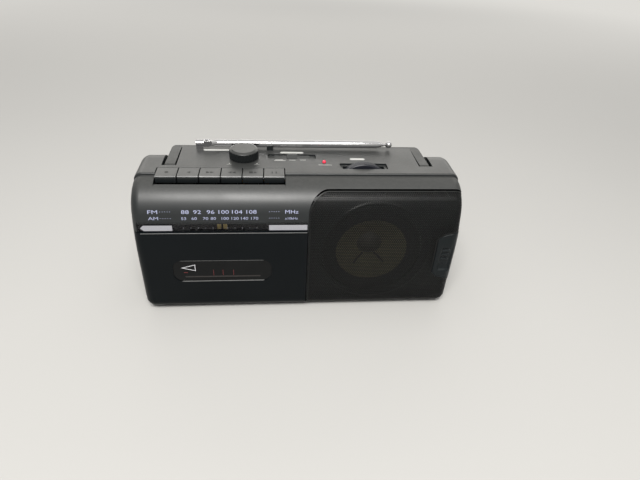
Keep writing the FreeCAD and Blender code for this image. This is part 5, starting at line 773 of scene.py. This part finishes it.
speaker = centre_of("speaker_frame")
cone = Finish("cone_paper", 0.85)
fibres = cone.noise(0.7 * MM, 5)
paper = cone.blend(cone.ramp(fibres, 0.3, 0.7, 0, 1), tuple(part * 0.7 for part in CONE_BROWN), CONE_BROWN)
from_axis = cone.vector("MULTIPLY_ADD", cone.place, (1, 0, 1), (-speaker.x, 0, -speaker.z))
beyond_paper = cone.ramp(cone.vector("LENGTH", from_axis), PAPER_EDGE - 0.3 * MM, PAPER_EDGE + 0.3 * MM, 0, 1)
cone.colour(cone.blend(beyond_paper, paper, FOAM_BLACK))
cone.relief(fibres, 0.6, 0.15 * MM)
cap = Finish("cap_paper", 0.42)
cap.colour(cap.mottle(CAP_BROWN, 2 * MM, 0.2))
cap.relief(cap.noise(0.5 * MM, 4), 0.4, 0.08 * MM)
ferrite = Finish("ferrite_stone", 0.65)
ferrite.colour(ferrite.mottle(FERRITE_GREY, 3 * MM, 0.3))
ferrite.relief(ferrite.noise(0.4 * MM, 5), 0.5, 0.05 * MM, 0.2 * MM)
dress(cone.material, "speaker_cone")
dress(cap.material, "speaker_dust_cap")
dress(ferrite.material, "speaker_magnet", "ferrite_rod")
dress(moulded("basket_paint", BASKET_BLACK, (0.35, 0.45), relief=0.1), "speaker_frame")


def cord_mesh(name, points, radius):
    """A round cord along a smooth curve through space, its ends closed."""
    curve = bpy.data.curves.new(name, "CURVE")
    curve.dimensions = "3D"
    curve.bevel_depth = radius
    curve.bevel_resolution = CORD_ROUNDING
    curve.use_fill_caps = True
    spline = curve.splines.new("NURBS")
    spline.points.add(len(points) - 1)
    for knot, place in zip(spline.points, points):
        knot.co = (*place, 1)
    spline.order_u = 3
    spline.use_endpoint_u = True
    return settled(name, curve)


cap_low, cap_high = corners_of("speaker_dust_cap")
cap_radius = (cap_high.x - cap_low.x) / 2


def cone_point(reach, turn, lift):
    """A point over the cone: reach out from its axis, turned from straight down, lifted off the paper."""
    across, up = speaker.x + reach * math.sin(turn), speaker.z - reach * math.cos(turn)
    hit, spot, slope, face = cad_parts["speaker_cone"].ray_cast(
        Vector((across, cap_low.y - 20 * MM, up)), Vector((0, 1, 0)))
    return Vector((across, spot.y - lift, up)) if hit else Vector((across, cap_high.y - lift, up))


lead_foil = metal("lead_foil", LEAD_GREY, (0.5, 0.7))
leads = []
for side in (-1, 1):
    turn = side * math.radians(38)
    route = [cone_point(cap_radius + 0.6 * MM, turn * 0.7, 0.3 * MM),
             cone_point(cap_radius + 4 * MM, turn * 0.9, 1.4 * MM),
             cone_point(LEAD_REACH * 0.8, turn, 1.3 * MM), cone_point(LEAD_REACH, turn, 0.2 * MM)]
    leads.append(cord_mesh("lead", route, LEAD_RADIUS))
keep(new_piece("speaker_leads", joined("speaker_leads", leads), lead_foil), "cabinet", "component_metal")

# ---- grille ----
# Black lacquered steel sheet, punched with small holes in staggered rows and pressed over the front's curve and
# round its end, where a plain narrow hem stiffens its edge.

HOLE_PITCH = 1.9 * MM
HOLE_SHARE = 0.4
SHEET_THICK = 0.5 * MM
HEM_WIDE = 1.3 * MM
HEM_THICK = 0.75 * MM
CELL_MARGIN = 0.96 * MM
CORNER_ROUND = 17 * MM
END_ROUND = 8 * MM
PLAN_ROUND = 9 * MM
RIDGE_RISE = 7 * MM
RIDGE_RADIUS = 49 * MM
RIDGE_WIDE = 1.1 * MM
RIDGE_PROUD = 0.5 * MM
GRILLE_BLACK = (0.006, 0.0065, 0.0065)

grille_low, grille_high = corners_of("speaker_grille")
mic_low, mic_high = corners_of("microphone_cover")
wrap_length = END_ROUND * math.pi / 2
flat_reach = PLAN_ROUND - END_ROUND
sheet_right = grille_high.x - PLAN_ROUND + flat_reach + wrap_length
sheet_low = grille_low.z + PLAN_ROUND - flat_reach - wrap_length
sheet_high = rise_of(grille_high.z)


def on_skin(across, rise, depth):
    """A point of the front where it also rounds over at its right end and along its lower edge."""
    beyond = max(across - (grille_high.x - PLAN_ROUND), 0)
    below = max(grille_low.z + PLAN_ROUND - rise, 0)
    reach = math.hypot(beyond, below)
    if reach <= flat_reach:
        return on_front(across, rise, depth)
    angle = min((reach - flat_reach) / END_ROUND, math.pi / 2)
    out = flat_reach + (END_ROUND - depth) * math.sin(angle)
    sunk = END_ROUND - (END_ROUND - depth) * math.cos(angle)
    return on_front(grille_high.x - PLAN_ROUND + out * beyond / reach if beyond else across,
                    grille_low.z + PLAN_ROUND - out * below / reach if below else rise, sunk)


def grille_area():
    """The grille's outline laid flat: a large round at the upper left, and a bay for the microphone cover."""
    left, top = grille_low.x, sheet_high
    middle = (left + CORNER_ROUND, rise_of(grille_high.z - CORNER_ROUND))
    corner = [(middle[0] - CORNER_ROUND * math.sin(math.radians(6 * step)),
               rise_of(grille_high.z - CORNER_ROUND + CORNER_ROUND * math.cos(math.radians(6 * step))))
              for step in range(16)]
    bay_left, slant = mic_low.x - 0.4 * MM, 5 * MM
    bay = [(sheet_right, rise_of(mic_low.z - 0.6 * MM)), (bay_left + slant, mic_low.z + slant * 0.9 - 0.4 * MM),
           (bay_left, mic_low.z + 2 * slant), (bay_left, rise_of(mic_high.z - slant * 1.8)),
           (bay_left + slant, rise_of(mic_high.z - slant * 0.75)), (sheet_right, rise_of(mic_high.z + 0.4 * MM))]
    return [(sheet_right, sheet_low), *bay, (sheet_right, top), *corner, (left, sheet_low)]


def flat_outline(name, outline):
    mesh = bpy.data.meshes.new(name)
    mesh.from_pydata([(across, up, 0) for across, up in outline], [], [tuple(range(len(outline)))])
    return placed(name, mesh)


def punched_cell():
    """One six-sided cell of the sheet with a six-sided hole through it. Its outer sides stay open."""
    shape = bmesh.new()
    rings = {}
    for part, radius in (("out", HOLE_PITCH / math.sqrt(3)), ("in", HOLE_PITCH * HOLE_SHARE)):
        for level in (0, -SHEET_THICK):
            rings[part, level] = [shape.verts.new((radius * math.sin(math.tau * step / 6),
                                                   radius * math.cos(math.tau * step / 6), level))
                                  for step in range(6)]
    for step in range(6):
        after = (step + 1) % 6
        outer, inner = rings["out", 0], rings["in", 0]
        outer_low, inner_low = rings["out", -SHEET_THICK], rings["in", -SHEET_THICK]
        shape.faces.new((outer[after], outer[step], inner[step], inner[after]))
        shape.faces.new((outer_low[step], outer_low[after], inner_low[after], inner_low[step]))
        shape.faces.new((inner[after], inner[step], inner_low[step], inner_low[after]))
    return placed("punched_cell", mesh_of(shape, "punched_cell", outward=False))


def punched_sheet():
    """Cells in staggered rows, kept where they lie inside an outline by more than a margin."""
    recipe = Recipe("punched_sheet")
    area, cell = recipe.ask("Outline", "Object"), recipe.ask("Cell", "Object")
    pitch, margin = recipe.ask("Pitch", "Float"), recipe.ask("Margin", "Float")
    corner, extent = recipe.ask("Corner", "Vector"), recipe.ask("Extent", "Vector")
    material = recipe.ask("Material", "Material")
    span = recipe.step("ShaderNodeSeparateXYZ", Vector=extent)
    row_gap = recipe.sum("MULTIPLY", pitch, math.sqrt(3) / 2)
    columns = recipe.sum("CEIL", recipe.sum("DIVIDE", span.outputs[0], pitch))
    rows = recipe.sum("CEIL", recipe.sum("DIVIDE", span.outputs[1], row_gap))
    wide = recipe.sum("MULTIPLY", recipe.sum("SUBTRACT", columns, 1), pitch)
    tall = recipe.sum("MULTIPLY", recipe.sum("SUBTRACT", rows, 1), row_gap)
    grid = recipe.step("GeometryNodeMeshGrid", Size_X=wide, Size_Y=tall, Vertices_X=columns, Vertices_Y=rows)
    row = recipe.sum("MODULO", recipe.step("GeometryNodeInputIndex").outputs[0], rows)
    odd = recipe.sum("MODULO", row, 2)
    stagger = recipe.step("ShaderNodeCombineXYZ", X=recipe.sum("MULTIPLY", odd, recipe.sum("DIVIDE", pitch, 2)))
    half = recipe.vector("MULTIPLY", extent, (0.5, 0.5, 0.5))
    shift = recipe.vector("ADD", stagger.outputs[0], recipe.vector("ADD", corner, half))
    laid = recipe.step("GeometryNodeSetPosition", Geometry=grid.outputs[0], Offset=shift)
    target = recipe.step("GeometryNodeObjectInfo", Object=area).outputs["Geometry"]
    above = recipe.vector("ADD", recipe.step("GeometryNodeInputPosition").outputs[0], (0, 0, 0.1))
    ray = recipe.step("GeometryNodeRaycast", Target_Geometry=target, Source_Position=above,
                      Ray_Direction=(0, 0, -1), Ray_Length=1.0)
    rim = recipe.step("GeometryNodeProximity", {"target_element": "EDGES"}, Geometry=target)
    near_rim = recipe.sum("LESS_THAN", rim.outputs["Distance"], margin)
    outside = recipe.sum("SUBTRACT", 1, ray.outputs["Is Hit"])
    dropped = recipe.sum("MAXIMUM", near_rim, outside)
    kept = recipe.step("GeometryNodeDeleteGeometry", Geometry=laid.outputs[0], Selection=dropped)
    shape = recipe.step("GeometryNodeObjectInfo", Object=cell).outputs["Geometry"]
    cells = recipe.step("GeometryNodeInstanceOnPoints", Points=kept.outputs[0], Instance=shape)
    recipe.finish(cells.outputs[0], material)
    return recipe


def close_rim(shape):
    """Close the open outer sides of a punched sheet, from its upper to its lower face."""
    bmesh.ops.remove_doubles(shape, verts=shape.verts, dist=0.01 * MM)

    def spot(vertex):
        return round(vertex.co.x, 6), round(vertex.co.y, 6)

    lower = {spot(vertex): vertex for vertex in shape.verts if vertex.co.z < -SHEET_THICK / 2}
    for edge in [edge for edge in shape.edges if edge.is_boundary and edge.verts[0].co.z > -SHEET_THICK / 2]:
        loop = edge.link_loops[0]
        start, stop = loop.vert, loop.link_loop_next.vert
        if spot(start) in lower and spot(stop) in lower:
            shape.faces.new((stop, start, lower[spot(start)], lower[spot(stop)]))


grille_lacquer = moulded("grille_lacquer", GRILLE_BLACK, (0.3, 0.4), relief=0.05, dust_and_sheen=0.05, shine=0.2)
outline = grille_area()
area, cell = flat_outline("grille_area", outline), punched_cell()
sheet = punched_sheet().run("speaker_grille_sheet", {
    "Outline": area, "Cell": cell, "Pitch": HOLE_PITCH, "Margin": CELL_MARGIN,
    "Corner": (grille_low.x, sheet_low, 0), "Extent": (sheet_right - grille_low.x, sheet_high - sheet_low, 0),
    "Material": grille_lacquer})
bpy.data.objects.remove(area)
bpy.data.objects.remove(cell)
shape = bmesh.new()
shape.from_mesh(sheet)
close_rim(shape)
for vertex in shape.verts:
    across, up, out = vertex.co
    from_ridge = (math.hypot(across - speaker.x, up - speaker.z - RIDGE_RISE) - RIDGE_RADIUS) / RIDGE_WIDE
    ridge = RIDGE_PROUD * math.exp(-from_ridge * from_ridge)
    vertex.co = on_skin(across, up, 0.1 * MM + RIDGE_PROUD - ridge - out)
shape.to_mesh(sheet)
shape.free()
keep(new_piece("speaker_grille_sheet", sheet, grille_lacquer), "cabinet", "grille_metal", "speaker_grille")


def close_steps(outline, longest):
    """The same closed outline with points added along its long sides."""
    steps = []
    for start, stop in zip(outline, outline[1:] + outline[:1]):
        start, stop = Vector(start), Vector(stop)
        count = max(1, math.ceil((stop - start).length / longest))
        steps += [start.lerp(stop, part / count) for part in range(count)]
    return steps


def set_in(points, distance):
    """A closed outline moved inward by distance, its corners kept sharp."""
    moved = []
    for index, point in enumerate(points):
        before, after = points[index - 1], points[(index + 1) % len(points)]
        first, second = (point - before).normalized(), (after - point).normalized()
        inward = (Vector((-first.y, first.x)) + Vector((-second.y, second.x))).normalized()
        lean = max(inward.dot(Vector((-first.y, first.x))), 0.5)
        moved.append(point + inward * distance / lean)
    return moved


def hem_mesh(points, width, top_depth, low_depth):
    """A flat band just inside a closed outline, laid on the skin."""
    shape = bmesh.new()
    inner = set_in(points, width)
    rings = [[shape.verts.new(on_skin(place.x, place.y, depth)) for place, depth in
              ((outer, top_depth), (within, top_depth), (within, low_depth), (outer, low_depth))]
             for outer, within in zip(points, inner)]
    for ring, after in zip(rings, rings[1:] + rings[:1]):
        for side in range(4):
            following = (side + 1) % 4
            shape.faces.new((ring[side], ring[following], after[following], after[side]))
    return mesh_of(shape, "hem")


hem = hem_mesh(close_steps(outline, 3 * MM), HEM_WIDE, 0.25 * MM, 0.25 * MM + HEM_THICK)
keep(new_piece("speaker_grille_hem", hem, grille_lacquer), "cabinet", "grille_metal")

# ---- microphone cover ----
# A moulded cover snaps into the bay at the grille's right edge. Three slots in its scooped face, each over a small
# lip, let sound through to the capsule behind.

MIC_BLACK = (0.007, 0.0095, 0.0105)
FELT_BLACK = (0.012, 0.012, 0.012)
MIC_COLUMNS, MIC_ROWS = 56, 190
MIC_EDGE = 1.3 * MM
MIC_THICK = 1.2 * MM
SCOOP_DEEP = 2.2 * MM
SCOOP_LEFT, SCOOP_RIGHT, SCOOP_LOW, SCOOP_HIGH = 127.2 * MM, 140.5 * MM, 42.5 * MM, 78 * MM
SLOT_LEFT, SLOT_RIGHT = 129.2 * MM, 136.9 * MM
SLOT_DEEP, LIP_PROUD = 1.1 * MM, 0.6 * MM
SLOT_HEIGHTS = (57.5 * MM, 62.6 * MM, 67.7 * MM)


def slope_between(value, low, high):
    """A smooth step from 0 at low to 1 at high."""
    part = min(max((value - low) / (high - low), 0), 1)
    return part * part * (3 - 2 * part)


def mic_side(across, corners):
    """The height of the cover's upper or lower side above a place, with its corners eased."""
    total = 0
    for shift in (-1.5, -0.75, 0, 0.75, 1.5):
        place = min(max(across + shift * MM, corners[0][0]), corners[-1][0])
        for (left, low), (right, high) in zip(corners, corners[1:]):
            if left <= place <= right:
                total += low + (high - low) * (place - left) / (right - left)
                break
    return total / 5


def mic_depth(across, height, to_side):
    """How far the cover's face lies behind the cabinet's skin."""
    rounding = 0
    if to_side < MIC_EDGE:
        rounding = MIC_EDGE - math.sqrt(max(MIC_EDGE ** 2 - (MIC_EDGE - to_side) ** 2, 0))
    scoop = slope_between(across, SCOOP_LEFT, SCOOP_LEFT + 2.4 * MM)
    scoop *= slope_between(height, SCOOP_LOW, SCOOP_LOW + 2.6 * MM)
    scoop *= 1 - slope_between(across, SCOOP_RIGHT - 2 * MM, SCOOP_RIGHT)
    depth = SCOOP_DEEP * scoop * (1 - slope_between(height, SCOOP_LOW + 6 * MM, SCOOP_HIGH))
    beside = slope_between(across, SLOT_LEFT - 0.4 * MM, SLOT_LEFT + 0.4 * MM)
    beside *= 1 - slope_between(across, SLOT_RIGHT - 0.4 * MM, SLOT_RIGHT + 0.4 * MM)
    for slot in SLOT_HEIGHTS:
        from_slot = abs(height - slot) / (0.9 * MM)
        from_lip = abs(height - slot + 1.7 * MM) / (0.9 * MM)
        depth += beside * SLOT_DEEP * (1 - slope_between(from_slot, 0.55, 1))
        depth -= beside * LIP_PROUD * (1 - slope_between(from_lip, 0, 1))
    return max(depth, 0) + rounding


mic_end = sheet_right
mic_left = mic_low.x
mic_upper = [(mic_left, mic_high.z - 9 * MM), (mic_left + 5 * MM, mic_high.z - 3.8 * MM), (mic_end, mic_high.z)]
mic_lower = [(mic_left, mic_low.z + 10 * MM), (mic_left + 5 * MM, mic_low.z + 4 * MM),
             (mic_end, mic_low.z - 0.2 * MM)]
shape = bmesh.new()
rows = []
for column in range(MIC_COLUMNS + 1):
    across = mic_left + (mic_end - mic_left) * (column / MIC_COLUMNS) ** 1.15
    low, high = mic_side(across, mic_lower), mic_side(across, mic_upper)
    faces = []
    for level in range(MIC_ROWS + 1):
        height = low + (high - low) * level / MIC_ROWS
        to_side = min(across - mic_left, height - low, high - height)
        depth = mic_depth(across, height, to_side)
        faces.append([shape.verts.new(on_skin(across, rise_of(height), depth + thick))
                      for thick in (0.05 * MM, MIC_THICK)])
    rows.append(faces)
for column in range(MIC_COLUMNS):
    for level in range(MIC_ROWS):
        corners = (rows[column][level], rows[column + 1][level], rows[column + 1][level + 1],
                   rows[column][level + 1])
        shape.faces.new([corner[0] for corner in corners])
        shape.faces.new([corner[1] for corner in reversed(corners)])
rim = [row[0] for row in rows] + rows[-1][1:] + [row[-1] for row in rows[-2::-1]] + rows[0][-2:0:-1]
for first, second in zip(rim, rim[1:] + rim[:1]):
    shape.faces.new((first[1], second[1], second[0], first[0]))
for face in shape.faces:
    face.smooth = True
cover = mesh_of(shape, "microphone_cover_shell")
mic_plastic = moulded("mic_cover_plastic", MIC_BLACK, (0.26, 0.34), relief=0.12, shine=0.17)
felt = Finish("capsule_felt", 0.9)
felt.colour(felt.mottle(FELT_BLACK, 0.6 * MM, 0.4))
felt.relief(felt.noise(0.3 * MM, 4), 0.6, 0.08 * MM)
keep(new_piece("microphone_cover_shell", cover, mic_plastic), "cabinet", "charcoal_plastic", "microphone_cover")
dress(felt.material, "microphone_capsule")

# ---- cassette door ----
# A smooth black door hinges at its foot. Its smoked window is printed with an arrow for the way that the tape runs
# and three short red lines that measure what is left. A thin pale grey bead along the door's upper edge is a
# painted highlight of the light that this rounded edge catches, and pale grey lines along the window's upper and
# lower edges are painted highlights of its lit rims. A sheet-metal holder carries the cassette.

DOOR_BLACK = (0.004, 0.0055, 0.0065)
SMOKE_BLACK = (0.003, 0.0035, 0.0038)
HOLDER_GREY = (0.4, 0.4, 0.4)
ARROW_WHITE = (0.6, 0.6, 0.62)
LINE_RED = (0.14, 0.016, 0.016)
LINE_BROWN = (0.017, 0.014, 0.013)
LINE_WIDE = 0.35 * MM
# Pale grey of the painted highlights: the light caught by the door's rounded upper edge and by the window's rims.
EDGE_HIGHLIGHT_GREY = (0.17, 0.172, 0.17)
HIGHLIGHT_BEAD_RADIUS = 0.45 * MM

smoke = Finish("smoked_window", 0.15, 0.2)
smoke.colour(smoke.mottle(SMOKE_BLACK, 15 * MM, 0.15))
smoke.relief(smoke.noise(8 * MM), 0.05, 0.02 * MM, 0.25 * MM)
dress(moulded("door_plastic", DOOR_BLACK, (0.3, 0.38), relief=0.12, shine=0.1), "cassette_door")
dress(smoke.material, "door_window")
dress(metal("holder_steel", HOLDER_GREY, (0.35, 0.5), grain=0.8 * MM), "cassette_holder")

glass_low, glass_high = corners_of("door_window")


def arrow_outline(left, right, low, high, line):
    """The two closed outlines of a hollow arrowhead that points left: its edge, then its opening."""
    middle = (low + high) / 2
    return [(left, middle), (right, low), (right, high)], [
        (left + 3.6 * line, middle), (right - line, low + 1.35 * line), (right - line, high - 1.35 * line)]


def frame_of(outer, inner, thickness):
    """A flat frame between two closed outlines with as many corners each."""
    shape = bmesh.new()
    loops = [[shape.verts.new((across, along, level)) for across, along in outline]
             for outline in (outer, inner) for level in (0, thickness)]
    outer_low, outer_high, inner_low, inner_high = loops
    for index in range(len(outer)):
        after = (index + 1) % len(outer)
        for first, second in ((outer_low, outer_high), (outer_high, inner_high), (inner_high, inner_low),
                              (inner_low, outer_low)):
            shape.faces.new((first[index], first[after], second[after], second[index]))
    return mesh_of(shape, "flat_frame")


def print_on_window(name, mesh, material, slot):
    mesh.transform(Matrix.Translation((0, glass_low.y, 0)) @ Matrix.Rotation(math.pi / 2, 4, "X"))
    return keep(new_piece(name, mesh, material), "cassette_door", slot)


# Pale grey plastic for painted highlights; the bead along the door's upper edge paints the light on that rounded
# edge.
highlight_plastic = moulded("door_trim_plastic", EDGE_HIGHLIGHT_GREY, (0.28, 0.36), relief=0.05, shine=0.5)
door_low, door_high = corners_of("cassette_door")
highlight_bead_rise = rise_of(door_high.z) - HIGHLIGHT_BEAD_RADIUS
highlight_bead = cord_mesh("door_trim", [on_front(across, highlight_bead_rise, HIGHLIGHT_BEAD_RADIUS * 0.8) for across in
                               (door_low.x + 7 * MM, 0, door_high.x - 0.4 * MM)], HIGHLIGHT_BEAD_RADIUS)
keep(new_piece("door_trim", highlight_bead, highlight_plastic), "cassette_door", "charcoal_plastic")
arrow = arrow_outline(glass_low.x + 7 * MM, glass_low.x + 19.7 * MM, 46.6 * MM, 53.9 * MM, 0.6 * MM)
print_on_window("window_arrow", frame_of(*arrow, INK_THICK), ink("arrow_ink", ARROW_WHITE), "white_plastic")
lines = [box_outline(across * MM - LINE_WIDE / 2, across * MM + LINE_WIDE / 2, 41.5 * MM, 47.6 * MM)
         for across in (-78.7, -70.3, -61)]
lines.append(box_outline(-105 * MM, -101.4 * MM, 44.6 * MM, 45.3 * MM))
print_on_window("window_lines", thin_shape(lines, INK_THICK), ink("red_ink", LINE_RED), "pointer_plastic")
base = thin_shape([box_outline(-104 * MM, -37 * MM, 39.4 * MM, 40.9 * MM)], INK_THICK)
print_on_window("window_base_line", base, ink("window_base_ink", LINE_BROWN), "pointer_plastic")
# Pale grey lines along the window's upper and lower edges: painted highlights of its lit rims.
window_edges = [box_outline(glass_low.x + 7 * MM, glass_high.x - 7 * MM, edge - 0.35 * MM, edge + 0.35 * MM)
                for edge in (glass_low.z + 0.3 * MM, glass_high.z - 0.3 * MM)]
print_on_window("window_edges", thin_shape(window_edges, 0.35 * MM), highlight_plastic, "charcoal_plastic")

# ---- carrying handle ----
# A bowed handle of black polystyrene lies in troughs behind the deck. It swings up on a moulded pin at each
# end. Like the deck, what faces up on it is painted a paler grey: partly thin dust, partly a painted sheen.

dress(moulded("handle_plastic", CABINET_BLACK, (0.38, 0.5), dust_and_sheen=0.35), "handle")

# ---- telescopic antenna ----
# Five brass tubes plated with chrome slide in one another and end in a small ball. The root turns in a fork and
# swings on a screwed pin, and a clip on the cabinet holds the folded rod.

CHROME = (0.42, 0.42, 0.43)
FORK_CHROME = (0.36, 0.36, 0.37)

chrome = metal("chrome_tube", CHROME, (0.06, 0.12), grain=1.5 * MM, stretch=(8, 1, 1), relief=0.03)
dress(chrome, *(f"antenna_section_{index}" for index in range(1, 6)))
dress(metal("fork_chrome", FORK_CHROME, (0.12, 0.22), relief=0.05), "antenna_base", "antenna_swivel")

# ---- tape mechanism ----
# A plated chassis carries the two reel spindles, the sliding head plate and the pinch roller. Behind it a motor
# drives the turned flywheel by a flat rubber belt.

PLATED_GREY = (0.5, 0.51, 0.5)
TURNED_GREY = (0.5, 0.5, 0.51)
MOTOR_GREY = (0.48, 0.48, 0.47)
PULLEY_BRASS = (0.62, 0.46, 0.2)
HEAD_CHROME = (0.68, 0.68, 0.7)
SPINDLE_WHITE = (0.6, 0.6, 0.57)

plated_sheet = metal("plated_sheet", PLATED_GREY, (0.32, 0.48), grain=0.8 * MM)
dress(plated_sheet, "mechanism_chassis", "flywheel_bracket", "head_base")
dress(metal("turned_steel", TURNED_GREY, (0.15, 0.3), grain=0.3 * MM, relief=0.2), "flywheel")
dress(metal("motor_tin", MOTOR_GREY, (0.3, 0.42)), "motor")
dress(metal("pulley_brass", PULLEY_BRASS, (0.2, 0.32)), "motor_pulley")
dress(metal("head_chrome", HEAD_CHROME, (0.1, 0.18), relief=0.03), "tape_heads")
dress(rubber("belt_rubber", RUBBER_BLACK), "drive_belt", "pinch_roller")
spindle_plastic = moulded("spindle_plastic", SPINDLE_WHITE, (0.35, 0.45), relief=0.08)
dress(spindle_plastic, "take_up_spindle", "supply_spindle")

# ---- battery lid ----
# A flat lid of black polystyrene hinges at its lower edge. Short round ribs near its upper edge give the thumb a
# hold, and a shallow arrow below them shows which way to press.

LID_RIBS = 6
LID_RIB_LONG = 30 * MM
LID_RIB_RADIUS = 0.6 * MM
LID_RIB_PITCH = 1.9 * MM
LID_RIBS_DOWN = 4.5 * MM


def stack_of_ribs():
    """Round level ribs, one above the other."""
    recipe = Recipe("stack_of_ribs")
    count, pitch = recipe.ask("Count", "Int"), recipe.ask("Pitch", "Float")
    radius, length = recipe.ask("Radius", "Float"), recipe.ask("Length", "Float")
    material = recipe.ask("Material", "Material")
    step = recipe.step("ShaderNodeCombineXYZ", Z=pitch)
    line = recipe.step("GeometryNodeMeshLine", Count=count, Offset=step.outputs[0])
    rib = recipe.step("GeometryNodeMeshCylinder", Vertices=16, Radius=radius, Depth=length)
    stacked = recipe.step("GeometryNodeInstanceOnPoints", Points=line.outputs[0], Instance=rib.outputs[0],
                          Rotation=(0, math.pi / 2, 0))
    recipe.finish(stacked.outputs[0], material)
    return recipe


lid_plastic = moulded("battery_lid_plastic", CABINET_BLACK, (0.4, 0.48), dust_and_sheen=0.1, shine=0.5)
dress(lid_plastic, "battery_door")
lid_low, lid_high = corners_of("battery_door")
lid_middle = (lid_low.x + lid_high.x) / 2
ribs = stack_of_ribs().run("battery_lid_ribs", {
    "Count": LID_RIBS, "Pitch": LID_RIB_PITCH, "Radius": LID_RIB_RADIUS, "Length": LID_RIB_LONG,
    "Material": lid_plastic})
lowest_rib = lid_high.z - LID_RIBS_DOWN - (LID_RIBS - 1) * LID_RIB_PITCH
ribs.transform(Matrix.Translation((lid_middle, lid_high.y, lowest_rib)))
keep(new_piece("battery_lid_ribs", ribs, lid_plastic), "battery_door", "black_plastic")
arrow_top = lowest_rib - LID_RIB_PITCH - 2 * MM
arrow = thin_shape([[(-5 * MM, 0), (0, -7 * MM), (5 * MM, 0)]], 0.3 * MM)
arrow.transform(Matrix.Translation((lid_middle, lid_high.y + 0.25 * MM, arrow_top))
                @ Matrix.Rotation(math.pi / 2, 4, "X"))
keep(new_piece("battery_lid_arrow", arrow, lid_plastic), "battery_door", "black_plastic")

# ---- circuit board, tuner and mains transformer ----
# One board of brown laminate carries the tuner, the controls and the amplifier under the deck. The transformer's
# laminated core stands on the floor, beside the mains socket.

LAMINATE_DARK, LAMINATE_PALE = (0.3, 0.17, 0.06), (0.42, 0.26, 0.1)
TUNER_GREY = (0.55, 0.56, 0.52)
CORE_DARK, CORE_PALE = (0.1, 0.1, 0.1), (0.32, 0.31, 0.3)

laminate = Finish("board_laminate", 0.45)
laminate.colour(laminate.blend(laminate.noise(1.2 * MM, 3, (1, 4, 1)), LAMINATE_DARK, LAMINATE_PALE))
laminate.relief(laminate.noise(0.4 * MM), 0.2, 0.03 * MM, 0.15 * MM)
core = Finish("core_laminations", 0.5, metallic=0.6)
stripes = core.noise(0.9 * MM, 1, (1, 30, 30))
core.colour(core.blend(stripes, CORE_DARK, CORE_PALE))
core.relief(stripes, 0.6, 0.1 * MM)
dress(laminate.material, "main_board")
dress(moulded("tuner_plastic", TUNER_GREY, (0.25, 0.35), relief=0.05), "tuning_capacitor")
dress(core.material, "power_transformer")
